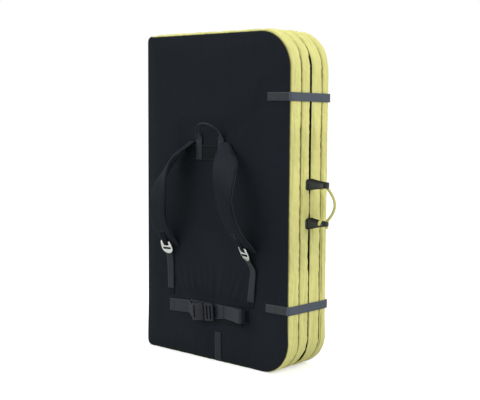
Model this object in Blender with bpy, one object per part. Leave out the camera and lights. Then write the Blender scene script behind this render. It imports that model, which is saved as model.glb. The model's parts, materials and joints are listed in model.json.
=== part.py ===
# Folding bouldering crash pad, closed and standing on its short end.
# Units are metres. +X points from the fold to the opening side, -Y is the side that carries the
# shoulder harness, +Z is up. The origin lies on the floor, under the middle of the front half's
# inner wall band.
# Each half is a foam block in a sewn cover: a crowned base panel, two pillowed wall bands, a spine
# wall along the fold and a crowned landing panel. The harness, belt and handles are webbing.

from math import asin, cos, pi, radians, sin

import bmesh
import bpy
from mathutils import Vector

MM = 0.001

# The pad as a whole
HEIGHT = 1000 * MM
WIDTH = 590 * MM
THICKNESS = 190 * MM
FRONT_DEPTH = 98 * MM
PARTING = 1 * MM
FLAT_CUT = 0.5 * MM
CLEARANCE = 0.3 * MM
TOP_CORNER_RADIUS = 115 * MM
BOTTOM_CORNER_RADIUS = 105 * MM
FOLD_CORNER_RADIUS = 20 * MM
FOLD_AXIS_OUT = 1 * MM

# The sewn cover
COVER = 1.6 * MM
FRONT_WALL_SEAM = 56 * MM
REAR_WALL_SEAM = 37 * MM
SEAM_DIP = 4 * MM
LANDING_DIP = 6 * MM
WALL_BACK = 8 * MM
SPINE_WRAP = 22 * MM
SHOULDER_WIDTH = 13.5 * MM
RIM_INSET = 2.5 * MM
BASE_RIM_DEPTH = 8.5 * MM
BASE_CROWN = 3 * MM
LANDING_RIM_DEPTH = 2.6 * MM
LANDING_CROWN = 1 * MM
HINGE_LEAF_WIDTH = 15 * MM
HINGE_LEAF_THICKNESS = 0.7 * MM
HINGE_LEAF_GAP = 0.4 * MM
HINGE_END_MARGIN = 25 * MM

# The foam
FIRM_FOAM_THICKNESS = 25 * MM

# Webbing stock
WEBBING_WIDTH = 25 * MM
WEBBING_THICKNESS = 1.6 * MM
BELT_WIDTH = 40 * MM

# Closure straps
CLOSURE_HEIGHTS = {"upper": 808 * MM, "lower": 195 * MM}
CLOSURE_PATCH_LENGTH = 84 * MM
CLOSURE_CORNER_STANDOFF = 1.6 * MM
CLOSURE_END_LENGTH = 80 * MM
CLOSURE_ANCHOR_LENGTH = 90 * MM
CLOSURE_HOOK_OVERLAP = 12 * MM

# Carrying handles
HANDLE_BASE_OFFSET = {"front": 12.5 * MM, "rear": 8.5 * MM}
HANDLE_UPPER_HEIGHT = 555 * MM
HANDLE_SPAN = 114 * MM
HANDLE_TAB_BASE = 33 * MM
HANDLE_TAB_TIP = 16 * MM
HANDLE_TAB_PLY = 1.5 * MM
HANDLE_TAB_SLIT = 0.5 * MM
ROPE_DIAMETER = 7 * MM
ROPE_FIT = 0.8 * MM
ROPE_UPPER_TAIL = 1 * MM
ROPE_LOWER_TAIL = 5 * MM
HANDLE_REACH = {"front": 45 * MM, "rear": 49 * MM}
HANDLE_BOW = {"front": 11 * MM, "rear": 25 * MM}
HANDLE_LEAN = {"front": 0, "rear": 9}

# Yoke and haul loop
HARNESS_X = -16 * MM
YOKE_WIDTH = 186 * MM
YOKE_HEIGHT = 46 * MM
YOKE_BOTTOM = 617 * MM
YOKE_THICKNESS = 2 * MM
LOOP_X = -9 * MM
LOOP_FOOT_OUT = 45 * MM
LOOP_FOOT_TOP = 688 * MM
LOOP_OVERLAP = 8 * MM
LOOP_RISE = 47 * MM
LOOP_BOW = 28 * MM
LOOP_WEBBING_WIDTH = 23 * MM

# Padded shoulder straps
STRAP_WIDTH = 65 * MM
STRAP_THICKNESS = 11 * MM
STRAP_ROOT_OUT = 69 * MM
STRAP_END_OUT = {"left": 158 * MM, "right": 166 * MM}
STRAP_TOP = 672 * MM
STRAP_END = {"left": 344 * MM, "right": 355 * MM}
STRAP_BOW = {"left": 74 * MM, "right": 85 * MM}

# Hook buckles, their webbings and anchors
HOOK_WIDTH = 40 * MM
HOOK_NECK_HEIGHT = 27 * MM
HOOK_THICKNESS = 2 * MM
HOOK_SLOT_LENGTH = 27 * MM
HOOK_SLOT_WIDTH = 5 * MM
HOOK_DROP = 9 * MM
HOOK_CENTRE_LIFT = 23 * MM
HOOK_TILT = 26
HOOK_TURN = {"left": 10, "right": -16}
HANGER_WIDTH = 20 * MM
HANGER_GAP = 1 * MM
LOWER_ANCHOR_OUT = {"left": 161 * MM, "right": 172 * MM}
LOWER_ANCHOR_RISE = 53 * MM
LOWER_ANCHOR_LENGTH = 38 * MM
LOWER_SIDE_BOW = {"left": 0, "right": 17 * MM}
LOWER_TUCK = 10 * MM

# Waist belt
BELT_LEFT_HEIGHT = 151 * MM
BELT_LEFT_END = -184 * MM
BELT_CREST_X = -96 * MM
BELT_CREST_RISE = 5 * MM
BELT_BACKING_LEFT = -92 * MM
BELT_BACKING_RIGHT = 121 * MM
BELT_BACKING_RISE = 28 * MM
BELT_BACKING_DROP = 28 * MM
BELT_BACKING_THICKNESS = 1.8 * MM
BELT_STRAIGHT_END = 54 * MM
BELT_CREASE_RISE = 8 * MM
BELT_BOW_X = 132 * MM
BELT_BOW = 29 * MM
BELT_TURN = 7 * MM
BELT_FLAP_RISE = 10.5 * MM
BELT_ANCHOR_X = 135 * MM
BELT_ANCHOR_RISE = 7 * MM
BELT_ANCHOR_LENGTH = 24 * MM

# Side-release buckle of the belt
BUCKLE_LEFT = -71 * MM
BUCKLE_DROP = 2 * MM
BUCKLE_ROLL = 5
BUCKLE_HOUSING_LENGTH = 48 * MM
BUCKLE_FRAME_LENGTH = 39 * MM
BUCKLE_WIDTH = 54 * MM
BUCKLE_THICKNESS = 13 * MM
BUCKLE_FRAME_THICKNESS = 8 * MM
BUCKLE_WALL = 3 * MM
BUCKLE_BACK = 6 * MM
BUCKLE_LIFT = 5.2 * MM
BUCKLE_BEVEL = 2 * MM
BUCKLE_PLAY = 0.6 * MM
BUCKLE_SLOT_WIDTH = 5 * MM
PRONG_LENGTH = 34 * MM
PRONG_WIDTH = 6 * MM
PRONG_THICKNESS = 5 * MM
PRONG_INSET = 2 * MM
BARB_LENGTH = 8.5 * MM
TONGUE_WIDTH = 8 * MM
WINDOW_LENGTH = 18 * MM

# Webbing tab at the bottom edge
BOTTOM_TAB_X = 23 * MM
BOTTOM_TAB_TOP = 93 * MM
BOTTOM_TAB_CURL = 15 * MM
BOTTOM_TAB_END = 5 * MM

# Shapes given as shares of the sizes above
SHOULDER_SHARES = ((0, 1), (0.1, 0.42), (0.4, 0.12), (1, 0))
CROWN_RING_SHARES = (0.85, 0.7, 0.5, 0.25)
CROWN_POWER = 4
BULGE_SHARES = ((0, 1), (0.04, 0.55), (0.12, 0.24), (0.28, 0.08), (0.5, 0),
                (0.72, 0.08), (0.88, 0.24), (0.96, 0.55), (1, 1))
PAD_SECTION_SHARES = ((-1, -0.25), (-0.9, -0.75), (-0.6, -1), (0.6, -1), (0.9, -0.75), (1, -0.25),
                      (1, 0.25), (0.9, 0.75), (0.6, 1), (-0.6, 1), (-0.9, 0.75), (-1, 0.25))
FLAT_SECTION_SHARES = ((-1, -1), (1, -1), (1, 1), (-1, 1))
# Shoulder strap stations: drop, sideways spread, bow, turn in degrees, width, thickness
STRAP_SHARES = (
    (0.000, 0.00, 0.00, 0, 0.38, 0.34),
    (0.082, 0.24, 0.28, 28, 0.72, 0.70),
    (0.167, 0.48, 0.54, 38, 1.02, 0.90),
    (0.280, 0.62, 0.77, 30, 1.00, 1.00),
    (0.400, 0.73, 0.94, 8, 0.97, 1.00),
    (0.520, 0.80, 1.00, -6, 0.95, 1.00),
    (0.660, 0.89, 0.93, -10, 0.97, 1.00),
    (0.766, 0.95, 0.78, -10, 1.00, 1.00),
    (0.857, 0.98, 0.54, -8, 1.00, 1.00),
    (0.933, 1.00, 0.26, -4, 1.00, 0.90),
    (1.000, 1.00, 0.03, 0, 0.95, 0.60),
)
# Strap stations above the span that the hanger is sewn on
HANGER_STATION_COUNT = 7
# Haul loop stations: share of the half span from the middle, rise, bow
LOOP_SHARES = ((-1.0, 0.00, 0.00), (-1.06, 0.22, 0.16), (-1.0, 0.48, 0.40), (-0.78, 0.74, 0.68),
               (-0.42, 0.94, 0.92), (0.0, 1.00, 1.00), (0.42, 0.94, 0.92), (0.78, 0.74, 0.68),
               (1.0, 0.48, 0.40), (1.06, 0.22, 0.16), (1.0, 0.00, 0.00))
# Hook outline above its round disc: across and up, shares of the half width and the neck height
HOOK_NECK_SHARES = ((1.0, 0.1), (0.93, 0.5), (0.84, 0.82), (0.70, 0.93), (0.46, 0.88), (0.42, 0.72),
                    (0.52, 0.55), (0.40, 0.36), (0.0, 0.30), (-0.40, 0.36), (-0.50, 0.55),
                    (-0.36, 0.80), (-0.42, 1.0), (-0.72, 1.04), (-0.88, 0.86), (-0.96, 0.5),
                    (-1.0, 0.1))
# Lower webbing stations: height from the anchor to the hook, sideways bow, lift
LOWER_SHARES = ((0.0, 0.0, 0.0), (0.2, 0.25, 0.4), (0.42, 0.55, 0.9), (0.62, 0.85, 1.3), (0.82, 1.0, 2.0))

# Belt's turn at its widest bow: across and out, shares of the turn's length
BELT_TURN_SHARES = ((0, 0), (0.65, -0.05), (1, -0.5))
# Where a handle tab's straight leg has its points, between its root and the rope
TAB_LEG_SHARES = (0.5, 0.85)
# The middle of a wall band, where its two dips meet
MIDDLE_SHARE = 0.5
# Slots of the belt buckle's frame, from its middle
FRAME_SLOT_SHARES = (-0.14, 0.22)
# A cut's length beside what it cuts through
CUT_OVERRUN_SHARE = 3

# Corner and curve counts, and turns in degrees
WIDE_ARC_STEPS = 8
TIGHT_ARC_STEPS = 3
DISC_STEPS = 16
STRAP_STEPS = 3
YOKE_STEPS = 4
LOOP_STEPS = 2
LOWER_STEPS = 2
FOLD_STEPS = 8
FOLD_HALF_TURN = 138
TAB_ROOT_ANGLES = (165, 90)
ROPE_STEPS = 22
ROPE_BOW_POWER = 1.2
SHARP_ANGLE = 40

FRONT_SKIN = -(FRONT_WALL_SEAM + FRONT_DEPTH - LANDING_RIM_DEPTH) / 2
REAR_SKIN = FRONT_SKIN + THICKNESS
FOLD_Y = FRONT_SKIN + FRONT_DEPTH + PARTING / 2
FOLD_X = -WIDTH / 2 - FOLD_AXIS_OUT
REAR_DEPTH = THICKNESS - FRONT_DEPTH - PARTING
SIDE_X = WIDTH / 2
SEATED = CLEARANCE + WEBBING_THICKNESS / 2
HANDLE_LOWER_HEIGHT = HANDLE_UPPER_HEIGHT - HANDLE_SPAN
LOWER_ANCHOR_HEIGHT = BELT_LEFT_HEIGHT + LOWER_ANCHOR_RISE
BELT_CREST_HEIGHT = BELT_LEFT_HEIGHT + BELT_CREST_RISE
BELT_BACKING_TOP = BELT_LEFT_HEIGHT + BELT_BACKING_RISE
BELT_BACKING_BOTTOM = BELT_LEFT_HEIGHT - BELT_BACKING_DROP
BELT_CREASE_HEIGHT = BELT_LEFT_HEIGHT + BELT_CREASE_RISE
BELT_FLAP_HEIGHT = BELT_LEFT_HEIGHT + BELT_FLAP_RISE
BELT_ANCHOR_HEIGHT = BELT_LEFT_HEIGHT + BELT_ANCHOR_RISE
BUCKLE_HEIGHT = BELT_LEFT_HEIGHT - BUCKLE_DROP
SIGNS = {"left": -1, "right": 1}
UP = Vector((0, 0, 1))
RIGHT = Vector((1, 0, 0))
INTO = Vector((0, 1, 0))
BUCKLE_ALONG = Vector((cos(radians(BUCKLE_ROLL)), 0, sin(radians(BUCKLE_ROLL))))
BUCKLE_RISE = Vector((-sin(radians(BUCKLE_ROLL)), 0, cos(radians(BUCKLE_ROLL))))

# Colours: red, green, blue, roughness, metallic
BLACK_FABRIC = (0.014, 0.016, 0.020, 0.75, 0)
LIME_FABRIC = (0.62, 0.64, 0.19, 0.7, 0)
DARK_WEBBING = (0.035, 0.040, 0.044, 0.7, 0)
SIDE_WEBBING = (0.070, 0.080, 0.115, 0.65, 0)
BLACK_WEBBING = (0.016, 0.016, 0.018, 0.75, 0)
ROPE_LIME = (0.60, 0.62, 0.18, 0.65, 0)
SOFT_FOAM = (0.62, 0.62, 0.60, 0.9, 0)
FIRM_FOAM = (0.10, 0.10, 0.11, 0.8, 0)
HOOK_METAL = (0.62, 0.64, 0.60, 0.35, 1)
BUCKLE_PLASTIC = (0.020, 0.021, 0.024, 0.45, 0)


def clear_scene():
    for item in list(bpy.data.objects):
        bpy.data.objects.remove(item, do_unlink=True)


def material_for(name, colour):
    material = bpy.data.materials.new(name + "_finish")
    material.use_nodes = True
    shader = material.node_tree.nodes["Principled BSDF"]
    shader.inputs["Base Color"].default_value = (colour[0], colour[1], colour[2], 1)
    shader.inputs["Roughness"].default_value = colour[3]
    shader.inputs["Metallic"].default_value = colour[4]
    return material


def add_object(name, shape, colour, origin=None, smooth=False):
    """Turns a bmesh in world places into an object whose origin is the given point."""
    origin = origin or Vector((0, 0, 0))
    shape.normal_update()
    bmesh.ops.recalc_face_normals(shape, faces=shape.faces)
    bmesh.ops.translate(shape, verts=shape.verts, vec=-origin)
    mesh = bpy.data.meshes.new(name)
    shape.to_mesh(mesh)
    shape.free()
    if smooth:
        mesh.shade_smooth()
        mesh.set_sharp_from_angle(angle=radians(SHARP_ANGLE))
    mesh.materials.append(material_for(name, colour))
    item = bpy.data.objects.new(name, mesh)
    item.location = origin
    bpy.context.scene.collection.objects.link(item)
    return item


def loft(name, loops, colour, origin=None, first_point=None, last_point=None):
    """One closed body through loops of equal count, each end a flat cap or a fan to a point."""
    shape = bmesh.new()
    rows = [[shape.verts.new(point) for point in loop] for loop in loops]
    for row, after in zip(rows, rows[1:]):
        for i in range(len(row)):
            j = (i + 1) % len(row)
            shape.faces.new((row[i], row[j], after[j], after[i]))
    for row, point in ((rows[0], first_point), (rows[-1], last_point)):
        if point is None:
            shape.faces.new(row)
            continue
        middle = shape.verts.new(point)
        for i in range(len(row)):
            shape.faces.new((row[i], row[(i + 1) % len(row)], middle))
    return add_object(name, shape, colour, origin, smooth=True)


def arc(centre, radius, start, end, steps):
    """Points of an arc with their inward normals, angles in degrees, in the XZ plane."""
    points = []
    for i in range(steps + 1):
        angle = radians(start + (end - start) * i / steps)
        out = (cos(angle), sin(angle))
        place = (centre[0] + radius * out[0], centre[1] + radius * out[1])
        points.append((place, (-out[0], -out[1])))
    return points


def lime_path():
    """From the fold side over the top, down the opening side and back along the bottom."""
    start = -SIDE_X + SPINE_WRAP
    top = (SIDE_X - TOP_CORNER_RADIUS, HEIGHT - TOP_CORNER_RADIUS)
    low = (SIDE_X - BOTTOM_CORNER_RADIUS, BOTTOM_CORNER_RADIUS - FLAT_CUT)
    path = [((start, HEIGHT), (0, -1))]
    path += arc(top, TOP_CORNER_RADIUS, 90, 0, WIDE_ARC_STEPS)
    path += arc(low, BOTTOM_CORNER_RADIUS, 0, -90, WIDE_ARC_STEPS)
    path.append(((start, -FLAT_CUT), (0, 1)))
    return path


def spine_path():
    """Round the fold side, from the bottom wall to the top wall."""
    end = -SIDE_X + SPINE_WRAP - CLEARANCE
    x = -SIDE_X + FOLD_CORNER_RADIUS
    path = [((end, -FLAT_CUT), (0, 1))]
    path += arc((x, FOLD_CORNER_RADIUS - FLAT_CUT), FOLD_CORNER_RADIUS, -90, -180, TIGHT_ARC_STEPS)
    path += arc((x, HEIGHT - FOLD_CORNER_RADIUS), FOLD_CORNER_RADIUS, 180, 90, TIGHT_ARC_STEPS)
    path.append(((end, HEIGHT), (0, -1)))
    return path


def panel_outline(inset):
    """The half's whole outline, moved inwards by the inset."""
    path = lime_path()[1:-1] + spine_path()[1:-1]
    return [(p[0] + n[0] * inset, p[1] + n[1] * inset) for p, n in path]


class Half:
    """Places in one half: t is the depth from its base skin towards its landing skin."""

    def __init__(self, name, skin, inward, depth, seam):
        self.name = name
        self.skin = skin
        self.inward = inward
        self.depth = depth
        self.seam = seam

    def at(self, x, z, t):
        return Vector((x, self.skin + self.inward * t, max(z, 0)))


def face_rings(half, landing, under, inset, rim_depth, crown):
    """Rings of a crowned face, rim first, and its middle point, that far under the skin."""
    rings = []
    for along, drop in SHOULDER_SHARES:
        depth = crown + (rim_depth - crown) * drop
        outline = panel_outline(inset + under + (SHOULDER_WIDTH - under) * along)
        rings.append((outline, depth))
    outline = panel_outline(inset + SHOULDER_WIDTH)
    for share in CROWN_RING_SHARES:
        ring = [(x * share, HEIGHT / 2 + (z - HEIGHT / 2) * share) for x, z in outline]
        rings.append((ring, crown * share ** CROWN_POWER))

    def depth_of(depth):
        return half.depth - depth - under if landing else depth + under

    loops = [[half.at(x, z, depth_of(depth)) for x, z in ring] for ring, depth in rings]
    return loops, half.at(0, HEIGHT / 2, depth_of(0))


def cover_panel(half, name, landing, rim_depth, crown):
    """A fabric panel: its outer face, its rim and its inner face."""
    outer, outer_middle = face_rings(half, landing, 0, RIM_INSET, rim_depth, crown)
    inner, inner_middle = face_rings(half, landing, COVER, RIM_INSET, rim_depth - COVER, crown)
    loops = outer[::-1] + inner
    return loft(name, loops, BLACK_FABRIC, None, outer_middle, inner_middle)


def wall_band(half, name, path, start, end, end_dip, colour):
    """A pillowed band of the wall between two depths, swept along the path."""
    loops = []
    for place, normal in path:
        loop = []
        for along, dip in BULGE_SHARES:
            deepest = SEAM_DIP if along < MIDDLE_SHARE else end_dip
            loop.append((start + (end - start) * along, deepest * dip))
        loop.append((end, WALL_BACK))
        loop.append((start, WALL_BACK))
        loops.append([half.at(place[0] + normal[0] * inset, place[1] + normal[1] * inset, t)
                      for t, inset in loop])
    return loft(name, loops, colour)


def make_walls(half):
    start = BASE_RIM_DEPTH + CLEARANCE
    end = half.depth - LANDING_RIM_DEPTH - CLEARANCE
    before_seam = half.seam - CLEARANCE / 2
    after_seam = half.seam + CLEARANCE / 2
    path = lime_path()
    wall_band(half, half.name + "_outer_wall", path, start, before_seam, SEAM_DIP, LIME_FABRIC)
    wall_band(half, half.name + "_inner_wall", path, after_seam, end, LANDING_DIP, LIME_FABRIC)
    wall_band(half, half.name + "_spine_wall", spine_path(), start, end, LANDING_DIP, BLACK_FABRIC)


def make_foam(half):
    """A soft core under the base panel and a firm sheet under the landing panel."""
    under = COVER + CLEARANCE
    inset = WALL_BACK + CLEARANCE - under
    joint = half.depth - LANDING_CROWN - COVER - FIRM_FOAM_THICKNESS
    outline = panel_outline(WALL_BACK + CLEARANCE)
    soft, soft_middle = face_rings(half, False, under, inset, BASE_RIM_DEPTH, BASE_CROWN)
    soft_back = [half.at(x, z, joint) for x, z in outline]
    loft(half.name + "_soft_foam", [soft_back] + soft, SOFT_FOAM, None, None, soft_middle)
    firm, firm_middle = face_rings(half, True, under, inset, LANDING_RIM_DEPTH, LANDING_CROWN)
    firm_back = [half.at(x, z, joint + CLEARANCE) for x, z in outline]
    loft(half.name + "_firm_foam", [firm_back] + firm, FIRM_FOAM, None, None, firm_middle)


def make_hinge_leaf(half):
    """This half's leaf of the fabric hinge, from the fold axis on to the landing panel."""
    outer = half.depth + PARTING / 2 - HINGE_LEAF_GAP
    inner = outer - HINGE_LEAF_THICKNESS
    left = FOLD_X + HINGE_LEAF_GAP
    right = left + HINGE_LEAF_WIDTH
    loops = []
    for z in (HINGE_END_MARGIN, HEIGHT - HINGE_END_MARGIN):
        corners = ((left, inner), (right, inner), (right, outer), (left, outer))
        loops.append([half.at(x, z, t) for x, t in corners])
    loft(half.name + "_hinge_leaf", loops, BLACK_FABRIC)


def make_half(half):
    cover_panel(half, half.name + "_base_panel", False, BASE_RIM_DEPTH, BASE_CROWN)
    cover_panel(half, half.name + "_landing_panel", True, LANDING_RIM_DEPTH, LANDING_CROWN)
    make_walls(half)
    make_foam(half)
    make_hinge_leaf(half)


def crown_depth(x, z):
    """How far the base panel's facets lie under the crown's top at a place on a straight edge."""
    half_width = SIDE_X - RIM_INSET - SHOULDER_WIDTH
    half_height = HEIGHT / 2 - RIM_INSET - SHOULDER_WIDTH
    share = max(abs(x) / half_width, abs(z - HEIGHT / 2) / half_height)
    knots = [(0, 0)] + [(s, BASE_CROWN * s ** CROWN_POWER) for s in CROWN_RING_SHARES[::-1]]
    knots.append((1, BASE_CROWN))
    for (low, low_depth), (high, high_depth) in zip(knots, knots[1:]):
        if share <= high:
            return low_depth + (high_depth - low_depth) * (share - low) / (high - low)
    rim_share = (share - 1) * half_width / SHOULDER_WIDTH
    steps = [(1 - along, drop) for along, drop in SHOULDER_SHARES[::-1]]
    for (low, low_drop), (high, high_drop) in zip(steps, steps[1:]):
        if rim_share <= high:
            drop = low_drop + (high_drop - low_drop) * (rim_share - low) / (high - low)
            return BASE_CROWN + (BASE_RIM_DEPTH - BASE_CROWN) * drop
    return BASE_RIM_DEPTH


def side_surface(half, depth):
    """How far out the inner wall band's side lies at a depth from the base skin."""
    start = half.seam + CLEARANCE / 2
    end = half.depth - LANDING_RIM_DEPTH - CLEARANCE
    share = (depth - start) / (end - start)
    for (low, low_dip), (high, high_dip) in zip(BULGE_SHARES, BULGE_SHARES[1:]):
        if share <= high:
            dip = low_dip + (high_dip - low_dip) * (share - low) / (high - low)
            return SIDE_X - dip * (SEAM_DIP if share < MIDDLE_SHARE else LANDING_DIP)
    return SIDE_X - LANDING_DIP


def on_front(x, z, lift):
    """A point that far in front of the front base panel."""
    return Vector((x, FRONT_SKIN + crown_depth(x, z) - lift, z))


def on_rear(x, z, lift):
    return Vector((x, REAR_SKIN - crown_depth(x, z) + lift, z))


def smoothed(rows, steps):
    """A table's rows with smooth rows added between them, so that each span has that many steps."""
    table = []
    last = len(rows) - 1
    for i in range(last):
        near = (rows[max(i - 1, 0)], rows[i], rows[i + 1], rows[min(i + 2, last)])
        for k in range(steps):
            t = k / steps
            table.append([(b * 2 + (c - a) * t + (a * 2 - b * 5 + c * 4 - d) * t ** 2
                           + (b * 3 - a - c * 3 + d) * t ** 3) / 2 for a, b, c, d in zip(*near)])
    table.append(rows[last])
    return table


def spaced(start, end, spans):
    """Evenly spaced values from start to end."""
    return [start + (end - start) * i / spans for i in range(spans + 1)]


def ribbon_loops(middle, across, widths, thicknesses, section):
    """Sections along a centre line, whose width lies in the given direction across it."""
    loops = []
    last = len(middle) - 1
    for i, place in enumerate(middle):
        tangent = (middle[min(i + 1, last)] - middle[max(i - 1, 0)]).normalized()
        wide = across[i].normalized()
        thick = tangent.cross(wide).normalized()
        loops.append([place + wide * (a * widths[i] / 2) + thick * (b * thicknesses[i] / 2)
                      for a, b in section])
    return loops


def webbing(name, middle, across, width, colour, origin=None, thickness=WEBBING_THICKNESS):
    """A flat strip along a centre line, with one width or a list, and one direction or a list."""
    count = len(middle)
    directions = across if isinstance(across, list) else [across] * count
    widths = width if isinstance(width, list) else [width] * count
    loops = ribbon_loops(middle, directions, widths, [thickness] * count, FLAT_SECTION_SHARES)
    return loft(name, loops, colour, origin)


def make_closure(level):
    """Patch and strap on the front half; end, hook and anchor on the rear half."""
    z = CLOSURE_HEIGHTS[level]
    side = SIDE_X + CLOSURE_CORNER_STANDOFF
    edge = SIDE_X - RIM_INSET - SHOULDER_WIDTH
    split = edge + SHOULDER_WIDTH / 2
    start = side - CLOSURE_PATCH_LENGTH
    corner_depth = BASE_RIM_DEPTH / 2
    patch_places = (start, (start + edge) / 2, edge, split)
    patch = [on_front(x, z, SEATED) for x in patch_places]
    turn = FRONT_SKIN + corner_depth / 2
    patch += [Vector((SIDE_X, turn - CLEARANCE, z)), Vector((side, turn + CLEARANCE, z)),
              Vector((side, FRONT_SKIN + corner_depth, z))]
    webbing("closure_patch_" + level, patch, UP, WEBBING_WIDTH, DARK_WEBBING)
    pivot = Vector((side, FRONT_SKIN + corner_depth + CLEARANCE + WEBBING_THICKNESS / 2, z))
    far = REAR_SKIN - corner_depth - CLEARANCE
    run = [pivot, Vector((side, (pivot.y + far) / 2, z)), Vector((side, far, z))]
    webbing("closure_strap_" + level, run, UP, WEBBING_WIDTH, SIDE_WEBBING, pivot)
    make_closure_end(level, z, side, edge, split, corner_depth)


def make_closure_end(level, z, side, edge, split, corner_depth):
    bar = side - CLOSURE_END_LENGTH
    turn = REAR_SKIN - corner_depth / 2
    end = [Vector((side, REAR_SKIN - corner_depth, z)), Vector((side, turn - CLEARANCE, z)),
           Vector((SIDE_X, turn + CLEARANCE, z))]
    end += [on_rear(x, z, SEATED) for x in (split, edge, (edge + bar) / 2, bar)]
    webbing("closure_end_" + level, end, UP, WEBBING_WIDTH, SIDE_WEBBING)
    anchor_start = bar - CLEARANCE
    anchor = [on_rear(x, z, SEATED)
              for x in spaced(anchor_start, anchor_start - CLOSURE_ANCHOR_LENGTH, 2)]
    webbing("closure_anchor_" + level, anchor, UP, WEBBING_WIDTH, DARK_WEBBING)
    centre_x = bar - CLOSURE_HOOK_OVERLAP + HOOK_WIDTH / 2
    lift = CLEARANCE * 2 + WEBBING_THICKNESS + HOOK_THICKNESS / 2
    centre = on_rear(bar, z, lift)
    centre.x = centre_x
    pivot = centre + RIGHT * HOOK_WIDTH / 2
    hook_plate("closure_hook_" + level, centre, -UP, -RIGHT, pivot)


def hook_plate(name, centre, across, upward, origin):
    """A flat hook: a round disc with a webbing slot, and a notched neck for the loop."""
    radius = HOOK_WIDTH / 2
    tilt = asin(HOOK_NECK_SHARES[0][1] * HOOK_NECK_HEIGHT / radius)
    outline = []
    for i in range(1, DISC_STEPS):
        angle = pi - tilt + (pi + 2 * tilt) * i / DISC_STEPS
        outline.append((radius * cos(angle), radius * sin(angle)))
    outline += [(radius * a, HOOK_NECK_HEIGHT * b) for a, b in HOOK_NECK_SHARES]
    facing = across.cross(upward)
    shape = bmesh.new()
    back = [shape.verts.new(centre + across * a + upward * b - facing * HOOK_THICKNESS / 2)
            for a, b in outline]
    plate = bmesh.ops.extrude_face_region(shape, geom=[shape.faces.new(back)])
    moved = [v for v in plate["geom"] if isinstance(v, bmesh.types.BMVert)]
    bmesh.ops.translate(shape, verts=moved, vec=facing * HOOK_THICKNESS)
    item = add_object(name, shape, HOOK_METAL, origin)
    cut_box(item, centre, across * HOOK_SLOT_LENGTH, upward * HOOK_SLOT_WIDTH,
            facing * HOOK_THICKNESS * CUT_OVERRUN_SHARE)
    return item


def block(centre, length, height, depth):
    """A bmesh box given by its centre and its three edge vectors."""
    shape = bmesh.new()
    bmesh.ops.create_cube(shape, size=1)
    for vert in shape.verts:
        vert.co = centre + length * vert.co.x + height * vert.co.y + depth * vert.co.z
    return shape


def cut_box(item, centre, length, height, depth):
    """Cuts a box out of an object with a Boolean modifier."""
    cutter = add_object(item.name + "_cut_" + str(len(item.modifiers)),
                        block(centre, length, height, depth), HOOK_METAL)
    cutter.hide_render = True
    cutter.display_type = "WIRE"
    cut = item.modifiers.new("cut", "BOOLEAN")
    cut.operation = "DIFFERENCE"
    cut.solver = "EXACT"
    cut.object = cutter


def handle_tab(name, pivot, outward, aside, z, reach):
    """Webbing folded round the rope: out along one side, round it and back along the other."""
    ply = HANDLE_TAB_PLY
    flat = (ply + HANDLE_TAB_SLIT) / 2
    round_radius = (ROPE_DIAMETER + ply) / 2 + ROPE_FIT
    throat = reach - round_radius
    root = [(flat * cos(angle), flat * sin(angle)) for angle in map(radians, TAB_ROOT_ANGLES)]
    leg = root + [(throat * share, flat) for share in TAB_LEG_SHARES]
    plan = list(leg)
    for i in range(FOLD_STEPS + 1):
        angle = radians(FOLD_HALF_TURN - 2 * FOLD_HALF_TURN * i / FOLD_STEPS)
        plan.append((reach + round_radius * cos(angle), round_radius * sin(angle)))
    plan += [(along, -side) for along, side in leg[::-1]]
    middle = []
    widths = []
    for along, side in plan:
        share = along / (reach + round_radius)
        middle.append(pivot + outward * along + aside * side + UP * (z - pivot.z))
        widths.append(HANDLE_TAB_BASE + (HANDLE_TAB_TIP - HANDLE_TAB_BASE) * share)
    webbing(name, middle, UP, widths, BLACK_WEBBING, pivot, ply)


def make_handle(half, sign):
    """Two tabs and the rope between them, swinging about the round root of the tabs."""
    side = half.name
    lean = radians(HANDLE_LEAN[side]) * sign
    outward = Vector((cos(lean), sin(lean), 0))
    aside = Vector((-sin(lean), cos(lean), 0))
    reach = HANDLE_REACH[side]
    base_y = FOLD_Y + sign * HANDLE_BASE_OFFSET[side]
    root_radius = HANDLE_TAB_PLY + HANDLE_TAB_SLIT / 2
    foot = side_surface(half, (base_y - half.skin) * half.inward) + CLEARANCE + root_radius
    pivot = Vector((foot, base_y, (HANDLE_UPPER_HEIGHT + HANDLE_LOWER_HEIGHT) / 2))
    handle_tab(side + "_handle_upper_tab", pivot, outward, aside, HANDLE_UPPER_HEIGHT, reach)
    handle_tab(side + "_handle_lower_tab", pivot, outward, aside, HANDLE_LOWER_HEIGHT, reach)
    bow_top = HANDLE_UPPER_HEIGHT - (HANDLE_TAB_TIP + ROPE_DIAMETER) / 2
    bow_bottom = HANDLE_LOWER_HEIGHT + (HANDLE_TAB_TIP + ROPE_DIAMETER) / 2
    points = []
    for z in spaced(HANDLE_UPPER_HEIGHT + HANDLE_TAB_TIP / 2 + ROPE_UPPER_TAIL,
                    HANDLE_LOWER_HEIGHT - HANDLE_TAB_TIP / 2 - ROPE_LOWER_TAIL, ROPE_STEPS):
        share = min(max((bow_top - z) / (bow_top - bow_bottom), 0), 1)
        place = pivot + outward * (reach + HANDLE_BOW[side] * sin(pi * share) ** ROPE_BOW_POWER)
        points.append(Vector((place.x, place.y, z)))
    rope(side + "_handle_rope", points, pivot)


def rope(name, points, origin):
    """A round tube through the points, as a curve with filled caps."""
    curve = bpy.data.curves.new(name, "CURVE")
    curve.dimensions = "3D"
    curve.bevel_depth = ROPE_DIAMETER / 2
    curve.bevel_resolution = 2
    curve.use_fill_caps = True
    spline = curve.splines.new("POLY")
    spline.points.add(len(points) - 1)
    for target, point in zip(spline.points, points):
        place = point - origin
        target.co = (place.x, place.y, place.z, 1)
    curve.materials.append(material_for(name, ROPE_LIME))
    item = bpy.data.objects.new(name, curve)
    item.location = origin
    bpy.context.scene.collection.objects.link(item)


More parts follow.
